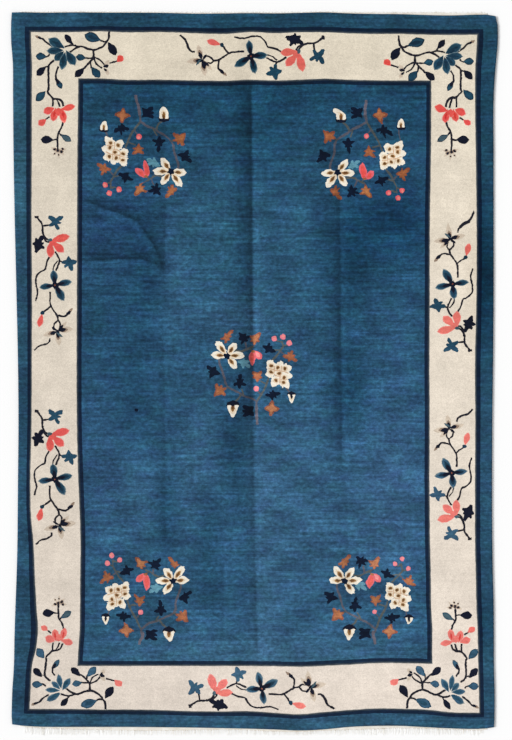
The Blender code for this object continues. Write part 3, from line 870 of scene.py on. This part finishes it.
# The knotted cloth.
# Wool pile of 7 to 8 mm stands on a cotton foundation. Its drawing is cut into faces, each face in
# one yarn, which lie on the folded cloth, round over at the rim and show again on the underside.
RIM = 0.007
PLAIN_GRID = 0.038
FOLD_STEP = 0.018
FOLD_ROWS = (-0.036, -0.022, -0.012, -0.006, -0.0012, 0.0012, 0.006, 0.014, 0.026)
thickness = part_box("carpet")[1].z
half_x, half_y = WIDTH / 2 - RIM, LENGTH / 2 - RIM


def grid(pitch):
    """Even points all over the drawing, so that plain ground follows the folds too."""
    nx, ny = round(2 * half_x / pitch), round(2 * half_y / pitch)
    x, y = np.meshgrid(np.linspace(-half_x, half_x, nx + 1), np.linspace(-half_y, half_y, ny + 1))
    return np.column_stack((x.ravel(), y.ravel()))


def beside_folds():
    """Rows of points along each fold, closest together where the pile turns over."""
    lying = []
    for fold in FOLDS:
        for start, end in zip(np.array(fold.line[:-1]), np.array(fold.line[1:])):
            length = np.linalg.norm(end - start)
            side = np.array((end[1] - start[1], start[0] - end[0])) / length
            for share in np.arange(0, 1, FOLD_STEP / length):
                lying += [start + share * (end - start) + out * side for out in FOLD_ROWS]
    lying = np.array(lying)
    return 2 * lying - as_it_lies(lying)


def cut_drawing():
    """Cut the plane where shapes meet: points, triangles and the yarn of each triangle."""
    corners = np.array(((-half_x, -half_y), (half_x, -half_y), (half_x, half_y), (-half_x, half_y)))
    points = [grid(PLAIN_GRID), beside_folds(), corners]
    count = sum(len(p) for p in points)
    cuts = [(count - 4 + k, count - 4 + (k + 1) % 4) for k in range(4)]
    for outline, _ in patches:
        cuts += [(count + k, count + (k + 1) % len(outline)) for k in range(len(outline))]
        points.append(outline)
        count += len(outline)
    cut = delaunay_2d_cdt([Vector(p) for p in np.vstack(points)], cuts, [], 0, 1e-6, False)
    flat = np.array([tuple(p) for p in cut[0]])
    triangles = np.array([tuple(face) for face in cut[2]])
    centres = flat[triangles].mean(axis=1)
    triangles = triangles[np.argsort(centres[:, 1])]
    centres = flat[triangles].mean(axis=1)
    owner = np.zeros(len(triangles), int)
    for k, (outline, _) in enumerate(patches):
        inside = np.zeros(len(triangles), bool)
        for (x0, y0), (x1, y1) in zip(outline, np.roll(outline, -1, axis=0)):
            low, high = np.searchsorted(centres[:, 1], (min(y0, y1), max(y0, y1)))
            reached = x0 + (centres[low:high, 1] - y0) * (x1 - x0) / (y1 - y0 or 1)
            inside[low:high] ^= centres[low:high, 0] < reached
        owner[inside] = k + 1
    yarns = ["band"] + [yarn for _, yarn in patches]
    return flat, [tuple(int(i) for i in face) for face in triangles], [yarns[k] for k in owner]


flat, triangles, face_yarns = cut_drawing()


# How the pile's tone drifts over the carpet, partly as dye lots change and partly as painted shade
# and light, beside the folds and where the pile lies another way: a soft patch at a place in metres,
# its reach, how much lighter it is and, where it is, how much greener.
Shade = namedtuple("Shade", "x y reach_x reach_y light green", defaults=(0.0,))
SHADES = (
    Shade(0.00, 1.15, 0.80, 0.30, -0.36, 0.004),
    Shade(0.00, -0.62, 0.90, 0.45, 0.14),
    Shade(0.00, -1.14, 0.80, 0.10, 0.22, 0.006),
    Shade(-0.18, 0.52, 0.15, 0.20, 0.10, 0.010),
    Shade(0.14, 0.45, 0.14, 0.30, 0.06, 0.004),
    Shade(0.16, -0.22, 0.14, 0.22, 0.10),
    Shade(0.18, -0.62, 0.15, 0.35, 0.12),
    Shade(0.54, -0.42, 0.14, 0.40, 0.16, -0.006),
    Shade(0.54, 0.58, 0.17, 0.14, -0.42, -0.008),
    Shade(0.36, -0.08, 0.08, 0.15, -0.26),
    Shade(0.36, 0.30, 0.05, 0.45, -0.12),
    Shade(0.39, 0.46, 0.07, 0.22, -0.22),
    Shade(0.27, 0.46, 0.06, 0.22, -0.16),
    Shade(0.54, 0.44, 0.15, 0.16, -0.16),
    Shade(0.04, 0.86, 0.06, 0.18, -0.16),
    Shade(0.04, -0.46, 0.05, 0.28, 0.16),
    Shade(0.04, -0.92, 0.06, 0.20, 0.18),
    Shade(-0.42, 0.36, 0.07, 0.26, -0.18),
    Shade(-0.30, 0.36, 0.045, 0.28, 0.16),
    Shade(0.46, -0.46, 0.16, 0.34, 0.08),
    Shade(0.00, -1.08, 0.66, 0.07, 0.12),
    Shade(0.00, -1.00, 0.70, 0.12, 0.05),
    Shade(-0.54, 0.55, 0.17, 0.16, -0.12, -0.012),
    Shade(-0.40, 0.95, 0.12, 0.22, -0.08),
    Shade(-0.56, 0.16, 0.12, 0.22, -0.12),
    Shade(-0.46, -0.14, 0.08, 0.22, -0.14),
    Shade(-0.46, -0.46, 0.10, 0.14, 0.16),
    Shade(-0.60, -0.36, 0.08, 0.30, 0.06, -0.008),
    Shade(-0.08, -0.30, 0.05, 0.18, -0.22),
    Shade(-0.34, -0.56, 0.04, 0.16, -0.24),
    Shade(-0.17, -0.60, 0.05, 0.14, -0.20),
    Shade(-0.17, -0.82, 0.06, 0.14, -0.16),
    Shade(-0.26, -0.40, 0.04, 0.14, 0.10),
    Shade(-0.05, 0.60, 0.035, 0.55, -0.14),
    Shade(0.02, 0.55, 0.03, 0.60, 0.07),
    Shade(-0.05, -0.70, 0.035, 0.40, -0.12),
    Shade(-0.90, 0.80, 0.06, 0.45, 0.22, 0.010),
    Shade(-0.90, 1.02, 0.06, 0.20, 0.08),
    Shade(-0.90, 0.15, 0.06, 0.20, 0.08),
    Shade(-0.90, -0.10, 0.06, 0.30, -0.06),
    Shade(0.88, -0.60, 0.06, 0.35, -0.10, -0.004),
    Shade(-0.90, -0.95, 0.06, 0.30, -0.02),
    Shade(0.88, 0.36, 0.06, 0.30, -0.90, -0.004),
    Shade(0.88, 0.95, 0.06, 0.35, -0.24, 0.004),
    Shade(0.88, -0.98, 0.06, 0.10, -0.36),
    Shade(0.00, -1.33, 0.90, 0.05, 0.22),
    Shade(-0.08, 0.20, 0.18, 0.08, 0.24),
    Shade(-0.20, -0.28, 0.07, 0.24, 0.15),
    Shade(0.60, 0.95, 0.08, 0.22, -0.15),
)


def shade_of(points):
    """The light and the green of the pile at points of the lying cloth."""
    light = np.zeros(len(points))
    green = np.zeros(len(points))
    for row in SHADES:
        away_x = (points[:, 0] - row.x) / row.reach_x
        away_y = (points[:, 1] - row.y) / row.reach_y
        near = np.exp(-away_x ** 2 - away_y ** 2)
        light += row.light * near
        green += row.green * near
    return light, green


AT_EDGE = 1e-5


def edge_loop(points):
    """The points on the cut drawing's own edge, in order round it from its first corner."""
    x, y = points[:, 0], points[:, 1]
    sides = ((y < -half_y + AT_EDGE, x), (x > half_x - AT_EDGE, y),
             (y > half_y - AT_EDGE, -x), (x < -half_x + AT_EDGE, -y))
    loop = []
    for on_side, key in sides:
        found = np.flatnonzero(on_side)
        loop += list(found[np.argsort(key[found])][:-1])
    return np.array(loop)


# How the rim of the pile falls: inset from the outline, share of the height there, how far the
# surface has run outwards from the cut drawing's edge, and how much painted shade darkens the pile's side.
Rim = namedtuple("Rim", "inset rise run dark")
RIMS = (
    Rim(0.0035, 0.95, 0.0036, 0.0),
    Rim(0.0012, 0.80, 0.0066, 0.1),
    Rim(0.0000, 0.48, 0.0102, 0.3),
    Rim(0.0008, 0.14, 0.0136, 0.6),
    Rim(0.0030, 0.00, 0.0160, 0.8),
)
WAVE = 0.00030
middle = (Vector(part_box("carpet")[0]) + Vector(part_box("carpet")[1])) / 2
edge = edge_loop(flat)
outline = as_it_lies(flat[edge] * np.array((WIDTH / 2 / half_x, LENGTH / 2 / half_y)))
shift = np.array(middle.xy) - (outline.min(axis=0) + outline.max(axis=0)) / 2


def unevenness(points):
    """The slow swells that hand-cut pile has, at most WAVE high."""
    x, y = points[:, 0], points[:, 1]
    return WAVE * (0.5 * np.sin(41 * x + 13 * y + 1.3) * np.sin(37 * y - 9 * x)
                   + 0.3 * np.sin(83 * x - 51 * y + 0.4) * np.sin(67 * y + 29 * x)
                   + 0.2 * np.sin(150 * y + 31 * x))


# Painted light: the pile face is painted a little lighter all over, and more for each metre
# towards the right side, except near the head.
PAINTED_LIGHT = 0.02
PAINTED_LIGHT_RIGHT = 0.065
HEAD_PLACE = 1.45
HEAD_REACH = 0.38


def make_cloth():
    """The whole knotted cloth as one closed shell: pile face, rim and underside."""
    lying = as_it_lies(flat)
    sunk, painted_fold_shading = fold_depth(lying)
    height = thickness - sunk + unevenness(lying)
    count = len(flat)
    places = [np.column_stack((lying + shift, height))]
    faces = list(triangles)
    yarns = list(face_yarns)
    sheets = [0] * len(triangles)
    drawn = [flat]
    rings = [edge]
    low = height[edge]
    for k, rim in enumerate(RIMS):
        grow = np.array(((WIDTH / 2 - rim.inset) / half_x, (LENGTH / 2 - rim.inset) / half_y))
        unrolled = np.array(((half_x + rim.run) / half_x, (half_y + rim.run) / half_y))
        places.append(np.column_stack((as_it_lies(flat[edge] * grow) + shift, low * rim.rise)))
        drawn.append(flat[edge] * unrolled)
        rings.append(np.arange(count, count + len(edge)))
        count += len(edge)
    for inner, outer in zip(rings[:-1], rings[1:]):
        for k in range(len(edge)):
            n = (k + 1) % len(edge)
            faces.append((inner[k], outer[k], outer[n], inner[n]))
            yarns.append("band")
            sheets.append(0)
    below = np.arange(count, count + len(flat))
    places.append(np.column_stack((lying + shift, np.zeros(len(flat)))))
    drawn.append(flat)
    for k in range(len(edge)):
        n = (k + 1) % len(edge)
        faces.append((rings[-1][k], below[edge[k]], below[edge[n]], rings[-1][n]))
        yarns.append("band")
        sheets.append(0)
    for tri, yarn in zip(triangles, face_yarns):
        faces.append(tuple(below[i] for i in tri[::-1]))
        yarns.append(yarn)
        sheets.append(1)
    below_start = count
    count += len(flat)
    # Painted shade and light: of the folds, over the pile face and on the rim's side.
    painted_light_and_shade = np.zeros(count)
    below_head = 1 - np.exp(-((HEAD_PLACE - lying[:, 1]) / HEAD_REACH) ** 2)
    painted_light_and_shade[:len(flat)] = painted_fold_shading - PAINTED_LIGHT - PAINTED_LIGHT_RIGHT * lying[:, 0] * below_head
    # The pile's side is painted darker towards the floor, as shade.
    painted_light_and_shade[len(flat):below_start] = np.repeat([rim.dark for rim in RIMS], len(edge))
    return np.vstack(places), faces, yarns, sheets, np.vstack(drawn), painted_light_and_shade


places, faces, yarns, sheets, drawn, painted_light_and_shade = make_cloth()
cloth_mesh = bpy.data.meshes.new("knotted_carpet")
cloth_mesh.from_pydata(places.tolist(), [], [tuple(int(i) for i in face) for face in faces])
cloth = bpy.data.objects.new("knotted_carpet", cloth_mesh)
bpy.context.scene.collection.objects.link(cloth)


def linear(value):
    """A part of a colour as it is seen, out of 255, as a share of the light."""
    value = value / 255
    return value / 12.92 if value <= 0.04045 else ((value + 0.055) / 1.055) ** 2.4


# Each corner of each face carries its yarn's colour, with the streakiness as the alpha. Each point
# carries its tone from dye lots and painted light, its greenness, and its painted shade and light.
corner_yarn = cloth_mesh.color_attributes.new("yarn", "FLOAT_COLOR", "CORNER")
sizes = np.array([len(face) for face in faces])
table = {name: (linear(y.red), linear(y.green), linear(y.blue), y.streaks) for name, y in YARNS.items()}
colours = np.repeat(np.array([table[name] for name in yarns]), sizes, axis=0)
loops = np.concatenate([np.array(face) for face in faces])
# The last skeins of cream were pinker, so the border warms from the head towards the foot.
GREEN_FALLS = 0.022
BLUE_RISES = 0.055
cream = np.repeat(np.array([name == "cream" for name in yarns]), sizes)
towards_foot = 0.5 - places[loops[cream], 1] / LENGTH
colours[cream, 1] *= 1 - GREEN_FALLS * towards_foot
colours[cream, 2] *= 1 + BLUE_RISES * towards_foot
corner_yarn.data.foreach_set("color", colours.ravel())
light, green = shade_of(places[:, :2] - shift)
dye_and_painted_light = cloth_mesh.attributes.new("dye_and_painted_light", "FLOAT_VECTOR", "POINT")
dye_and_painted_light.data.foreach_set("vector", np.column_stack((light, green, painted_light_and_shade)).ravel())

# Unrolled, the pile face with its rim fills one strip and the back a narrower one beside it. Each
# strip has its start and its width.
UNROLLED_ROOM = 0.03
PILE_STRIP = (0.005, 0.650)
BACK_STRIP = (0.672, 0.323)
unwrapped = cloth_mesh.uv_layers.new(name="OFBake")
sheet_of = np.repeat(np.array(sheets), sizes)
u = drawn[loops, 1] / (LENGTH + UNROLLED_ROOM) + 0.5
v = drawn[loops, 0] / (WIDTH + UNROLLED_ROOM) + 0.5
v = np.where(sheet_of == 0, PILE_STRIP[0] + PILE_STRIP[1] * v, BACK_STRIP[0] + BACK_STRIP[1] * v)
unwrapped.data.foreach_set("uv", np.column_stack((u, v)).ravel())
cloth_mesh.polygons.foreach_set("use_smooth", np.ones(len(faces), bool))
cloth_mesh.polygons.foreach_set("material_index", np.array(sheets))


def math_node(nodes, links, operation, *values):
    """One step of arithmetic on numbers and on other nodes' outputs."""
    node = nodes.new("ShaderNodeMath")
    node.operation = operation
    for socket, value in zip(node.inputs, values):
        if isinstance(value, (int, float)):
            socket.default_value = value
        else:
            links.new(value, socket)
    return node.outputs[0]


def noise(nodes, links, scale, detail):
    """A grain that is longer across the carpet than along it, as rows of knots are."""
    where = nodes.new("ShaderNodeTexCoord")
    mapping = nodes.new("ShaderNodeMapping")
    mapping.inputs["Scale"].default_value = scale
    texture = nodes.new("ShaderNodeTexNoise")
    texture.inputs["Scale"].default_value = 1.0
    texture.inputs["Detail"].default_value = detail
    texture.inputs["Roughness"].default_value = 0.6
    links.new(where.outputs["Object"], mapping.inputs["Vector"])
    links.new(mapping.outputs["Vector"], texture.inputs["Vector"])
    return math_node(nodes, links, "SUBTRACT", texture.outputs["Fac"], 0.5)


def total(nodes, links, *terms):
    """The sum of several sources, each with its own weight."""
    summed = 0.0
    for source, weight in terms:
        summed = math_node(nodes, links, "MULTIPLY_ADD", source, weight, summed)
    return summed


def knotted(nodes, links, pitch):
    """A round bump on each knot, in rows across the back."""
    where = nodes.new("ShaderNodeTexCoord")
    place = nodes.new("ShaderNodeSeparateXYZ")
    links.new(where.outputs["Object"], place.inputs["Vector"])
    across = math_node(nodes, links, "MULTIPLY", place.outputs["X"], math.pi / pitch)
    across = math_node(nodes, links, "ABSOLUTE", math_node(nodes, links, "SINE", across))
    along = math_node(nodes, links, "MULTIPLY", place.outputs["Y"], math.pi / pitch)
    along = math_node(nodes, links, "ABSOLUTE", math_node(nodes, links, "SINE", along))
    knot = math_node(nodes, links, "MULTIPLY", math_node(nodes, links, "POWER", across, 0.35), along)
    return math_node(nodes, links, "POWER", knot, 0.6)


def dyed_wool(name, pitch=0.0):
    """Wool in the yarns of the drawing, as cut pile, or as the knots of the back at a pitch."""
    material = bpy.data.materials.new(name)
    material.use_nodes = True
    nodes, links = material.node_tree.nodes, material.node_tree.links
    shader = nodes["Principled BSDF"]
    shader.inputs["Roughness"].default_value = 0.92
    shader.inputs["Specular IOR Level"].default_value = 0.08
    shader.inputs["Sheen Weight"].default_value = 0.03
    shader.inputs["Sheen Roughness"].default_value = 0.6
    dyed = nodes.new("ShaderNodeAttribute")
    dyed.attribute_name = "yarn"
    dye_and_painted_light = nodes.new("ShaderNodeAttribute")
    dye_and_painted_light.attribute_name = "dye_and_painted_light"
    lying = nodes.new("ShaderNodeSeparateXYZ")
    links.new(dye_and_painted_light.outputs["Vector"], lying.inputs["Vector"])
    knot_rows = noise(nodes, links, (60, 84, 1), 2.0)
    long_rows = noise(nodes, links, (4.5, 84, 1), 2.0)
    blotches = noise(nodes, links, (6, 9, 1), 2.0)
    drifts = noise(nodes, links, (14, 24, 3), 1.0)
    soil = noise(nodes, links, (9, 7, 1), 3.0)
    grain = noise(nodes, links, (260, 260, 260), 2.0)
    # The colour's value: dye streaks, soil and grain, with painted light: the drifting tone, and the
    # painted shade and light of folds, rim and pile face.
    tone_and_painted_light = total(nodes, links, (knot_rows, 1.95), (long_rows, 1.45), (blotches, 1.6),
                   (lying.outputs["X"], 1.0))
    tone_and_painted_light = math_node(nodes, links, "MULTIPLY", tone_and_painted_light, dyed.outputs["Alpha"])
    tone_and_painted_light = total(nodes, links, (tone_and_painted_light, 1.0), (soil, 0.40), (grain, 0.7), (lying.outputs["Z"], -1.0))
    height = noise(nodes, links, (420, 520, 420), 3.0)
    if pitch:
        height = knotted(nodes, links, pitch)
        # Painted shade: the back is darker between the knots and lighter on their tops.
        tone_and_painted_light = total(nodes, links, (tone_and_painted_light, 1.0), (height, 0.9))
        tone_and_painted_light = math_node(nodes, links, "SUBTRACT", tone_and_painted_light, 0.55)
    value = math_node(nodes, links, "EXPONENT", tone_and_painted_light)
    saturation = math_node(nodes, links, "MULTIPLY_ADD", lying.outputs["X"], -0.16, 1.010)
    hue = total(nodes, links, (drifts, -0.05), (lying.outputs["Y"], -1.0))
    hue = math_node(nodes, links, "MULTIPLY_ADD", hue, dyed.outputs["Alpha"], 0.5)
    shaded = nodes.new("ShaderNodeHueSaturation")
    links.new(dyed.outputs["Color"], shaded.inputs["Color"])
    links.new(hue, shaded.inputs["Hue"])
    links.new(saturation, shaded.inputs["Saturation"])
    links.new(value, shaded.inputs["Value"])
    links.new(shaded.outputs["Color"], shader.inputs["Base Color"])
    relief = nodes.new("ShaderNodeBump")
    relief.inputs["Strength"].default_value = 0.5
    relief.inputs["Distance"].default_value = 0.0012
    links.new(height, relief.inputs["Height"])
    links.new(relief.outputs["Normal"], shader.inputs["Normal"])
    return material


# Cut pile above. Below, each knot shows as a small bump in its own yarn, 90 to a foot, with painted shade
# between the knots.
KNOT_PITCH = 0.0034
pile = dyed_wool("wool_pile_dyed")
back = dyed_wool("wool_knotted_back", KNOT_PITCH)
cloth_mesh.materials.append(pile)
cloth_mesh.materials.append(back)
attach(cloth, "root")
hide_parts("carpet")

# Web and warp ends.
# Beyond the last row of knots a few picks of plain cotton weave hold the pile. From this web the
# cotton warps stick out as a thin fringe: long and uneven at the foot, worn to stubs at the head.

# How wide the web is at the foot and at the head, in millimetres, at some places across the carpet.
Web = namedtuple("Web", "across foot head")
WEBS = (
    Web(-0.92, 4, 3),
    Web(-0.82, 4, 2.5),
    Web(-0.67, 9, 2.5),
    Web(-0.52, 13, 2.5),
    Web(-0.36, 13, 2.5),
    Web(-0.21, 9, 4),
    Web(-0.06, 5, 3),
    Web(0.10, 8, 3),
    Web(0.18, 4, 2.5),
    Web(0.25, 4, 2.5),
    Web(0.33, 9, 3.5),
    Web(0.41, 12, 5),
    Web(0.56, 8, 6),
    Web(0.71, 4, 11),
    Web(0.83, 4, 7),
    Web(0.92, 7, 6),
)
WEB_INSET = 0.034
WEB_THICK = 0.0012
WEB_PLACES = 521
WEB_TUCK = 0.0030
WEB_RIPPLE = 0.0006
WEB_RAGGED = 0.0005
PICK_RIPPLE = 0.00008
WARP_RADIUS = 0.00055
WARP_ROOT = 0.0012
WARP_STRAY = 0.0007

# Round the web's section, from the pile outwards and back: share of its width, where -1 stands for
# the part tucked under the pile, and share of its height.
WEB_ROWS = ((-1, 1.0), (0.30, 1.0), (0.65, 0.95), (0.92, 0.85), (1.0, 0.35), (1.0, 0.0), (-1, 0.0))

# The two fringes: which way they stand, how many warp ends, how far these reach beyond the drawing
# and by how much more or less, the shortest one, and how far the ends lean to the side.
Fringe = namedtuple("Fringe", "name node out column count reach spread least lean")
FRINGES = (
    Fringe("warp_fringe_foot", "fringe_foot", -1, 0, 460, 0.0270, 0.0060, 0.010, 0.0035),
    Fringe("warp_fringe_head", "fringe_head", 1, 1, 420, 0.0035, 0.0025, 0.003, 0.0012),
)

# One warp end: twisted cotton yarn, a metre long and thinner at its tip, to be copied for each.
WARP_STEPS = 6
TWIST = 0.6
TIP_SHARE = 0.45
bpy.ops.object.select_all(action="DESELECT")
bpy.ops.mesh.primitive_circle_add(vertices=5, radius=WARP_RADIUS, fill_type="NGON",
                                  rotation=(math.pi / 2, 0, 0))
warp_end = bpy.context.object
bpy.ops.object.transform_apply(location=False, rotation=True, scale=False)
bpy.ops.object.mode_set(mode="EDIT")
bpy.ops.mesh.select_all(action="SELECT")
for step in range(1, WARP_STEPS + 1):
    bpy.ops.mesh.extrude_region_move(TRANSFORM_OT_translate={"value": (0, 1 / WARP_STEPS, 0)})
    bpy.ops.transform.rotate(value=TWIST, orient_axis="Y",
                             center_override=(0, step / WARP_STEPS, 0))
bpy.ops.transform.resize(value=(TIP_SHARE, 1, TIP_SHARE), center_override=(0, 1, 0))
bpy.ops.mesh.select_all(action="SELECT")
bpy.ops.mesh.normals_make_consistent(inside=False)
bpy.ops.object.mode_set(mode="OBJECT")
warp_shape = np.array([tuple(v.co) for v in warp_end.data.vertices])
warp_faces = [tuple(face.vertices) for face in warp_end.data.polygons]
bpy.data.objects.remove(warp_end, do_unlink=True)

# Unbleached cotton, a little soiled, and paler towards the tips of the warp ends.
cotton = bpy.data.materials.new("cotton_unbleached")
cotton.use_nodes = True
nodes, links = cotton.node_tree.nodes, cotton.node_tree.links
shader = nodes["Principled BSDF"]
shader.inputs["Roughness"].default_value = 0.9
shader.inputs["Specular IOR Level"].default_value = 0.15
soiling = noise(nodes, links, (22, 22, 22), 3.0)
fibres = noise(nodes, links, (900, 260, 900), 2.0)
clean = nodes.new("ShaderNodeMix")
clean.data_type = "RGBA"
clean.inputs["A"].default_value = (linear(216), linear(204), linear(184), 1)
clean.inputs["B"].default_value = (linear(253), linear(251), linear(246), 1)
bleached = nodes.new("ShaderNodeAttribute")
bleached.attribute_name = "bleached"
share = total(nodes, links, (soiling, 1.6), (fibres, 0.8), (bleached.outputs["Fac"], 0.5))
links.new(math_node(nodes, links, "ADD", share, 0.58), clean.inputs["Factor"])
links.new(clean.outputs["Result"], shader.inputs["Base Color"])
twist = nodes.new("ShaderNodeBump")
twist.inputs["Strength"].default_value = 0.6
twist.inputs["Distance"].default_value = 0.0004
links.new(fibres, twist.inputs["Height"])
links.new(twist.outputs["Normal"], shader.inputs["Normal"])


def make_fringe(fringe):
    """The web along one end of the pile, with its warp ends standing out of it."""
    random = np.random.default_rng(fringe.count)
    across = np.linspace(-WIDTH / 2 + WEB_INSET, WIDTH / 2 - WEB_INSET, WEB_PLACES)
    line = as_it_lies(np.column_stack((across, np.full(len(across), fringe.out * LENGTH / 2))))
    width = on_table(WEBS, line[:, 0])[:, fringe.column] * MM
    ragged = random.uniform(-WEB_RAGGED, WEB_RAGGED, len(across))
    width = width + WEB_RIPPLE * np.sin(across * 410) + ragged
    points, faces = [], []
    for share, height in WEB_ROWS:
        y = line[:, 1] + fringe.out * (-WEB_TUCK if share < 0 else width * share)
        z = WEB_THICK * height + (PICK_RIPPLE * np.sin(across * 1300) if height > 0.5 else 0)
        points.append(np.column_stack((line[:, 0], y, np.broadcast_to(z, y.shape))))
    n = len(across)
    for r in range(len(WEB_ROWS)):
        after = (r + 1) % len(WEB_ROWS)
        faces += [(r * n + i, r * n + i + 1, after * n + i + 1, after * n + i) for i in range(n - 1)]
    faces.append(tuple(r * n for r in range(len(WEB_ROWS))))
    faces.append(tuple(r * n + n - 1 for r in reversed(range(len(WEB_ROWS)))))
    count = len(WEB_ROWS) * n
    bleached = [np.zeros(count)]
    places = np.sort(random.uniform(across[2], across[-3], fringe.count // 4))
    places = np.concatenate((places, np.linspace(across[2], across[-3], fringe.count - len(places))))
    for x in places:
        x += random.uniform(-WARP_STRAY, WARP_STRAY)
        root_y = np.interp(x, line[:, 0], line[:, 1] + fringe.out * (width - WARP_ROOT))
        tip_y = fringe.out * (LENGTH / 2 + fringe.reach + random.uniform(-1, 1) * fringe.spread)
        length = max((tip_y - root_y) * fringe.out, fringe.least * random.uniform(1.0, 1.7))
        t = warp_shape[:, 1]
        bend = random.uniform(-1, 1, 3) * fringe.lean
        side = bend[0] * t + bend[1] * np.sin(math.pi * t)
        side = side + 0.35 * bend[2] * np.sin(math.tau * 1.5 * t)
        arch = 0.0009 * random.uniform(0, 1) * np.sin(math.pi * t) ** 2
        lift = WARP_RADIUS + 0.0003 * (1 - t) ** 2 + arch
        points.append(np.column_stack((x + warp_shape[:, 0] + side, root_y + fringe.out * t * length,
                                       warp_shape[:, 2] + lift)))
        faces += [tuple(i + count for i in face) for face in warp_faces]
        bleached.append(t ** 0.3)
        count += len(warp_shape)
    if fringe.out < 0:
        faces = [face[::-1] for face in faces]
    points = np.vstack(points)
    points[:, :2] += shift
    mesh = bpy.data.meshes.new(fringe.name)
    mesh.from_pydata(points.tolist(), [], faces)
    mesh.polygons.foreach_set("use_smooth", np.ones(len(faces), bool))
    whitened = mesh.attributes.new("bleached", "FLOAT", "POINT")
    whitened.data.foreach_set("value", np.concatenate(bleached))
    mesh.materials.append(cotton)
    piece = bpy.data.objects.new(fringe.name, mesh)
    bpy.context.scene.collection.objects.link(piece)
    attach(piece, "root")
    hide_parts(fringe.node)
    return piece


fringes = [make_fringe(fringe) for fringe in FRINGES]

# Floor, light and camera.
# The carpet lies on a plain pale floor, lit by soft light from one side and from all around, and
# is seen from straight above.
FLOOR_HALF = 9.0
FLOOR_TOP = -0.0005
floor_mesh = bpy.data.meshes.new("floor")
floor_mesh.from_pydata([(x * FLOOR_HALF, y * FLOOR_HALF, FLOOR_TOP)
                        for x, y in ((-1, -1), (1, -1), (1, 1), (-1, 1))], [], [(0, 1, 2, 3)])
floor = bpy.data.objects.new("floor", floor_mesh)
bpy.context.scene.collection.objects.link(floor)
pale = bpy.data.materials.new("pale_floor")
pale.use_nodes = True
surface = pale.node_tree.nodes["Principled BSDF"]
surface.inputs["Base Color"].default_value = (0.98, 0.98, 0.98, 1)
surface.inputs["Roughness"].default_value = 1.0
surface.inputs["Specular IOR Level"].default_value = 0.0
floor_mesh.materials.append(pale)

world = bpy.data.worlds.new("studio")
bpy.context.scene.world = world
world.use_nodes = True
sky_light = world.node_tree.nodes["Background"]
sky_light.inputs["Color"].default_value = (1, 1, 1, 1)
sky_light.inputs["Strength"].default_value = 0.53
key_light = bpy.data.lights.new("window_light", "SUN")
key_light.energy = 2.25
key_light.angle = math.radians(25)
key = bpy.data.objects.new("window_light", key_light)
key.rotation_euler = (0, math.radians(-48), 0)
bpy.context.scene.collection.objects.link(key)

# The picture is as wide as this at the height of the pile, and its middle is a little to the right.
FRAME_WIDTH = 1.961
FRAME_ACROSS = 0.0054
CAMERA_HEIGHT = 8.0
camera_data = bpy.data.cameras.new("camera")
camera_data.sensor_fit = "HORIZONTAL"
camera_data.sensor_width = 36
camera_data.lens = camera_data.sensor_width * CAMERA_HEIGHT / FRAME_WIDTH
camera = bpy.data.objects.new("camera", camera_data)
camera.location = (FRAME_ACROSS + shift[0], shift[1], CAMERA_HEIGHT + thickness)
bpy.context.scene.collection.objects.link(camera)
bpy.context.scene.camera = camera
bpy.context.scene.view_settings.view_transform = "Standard"
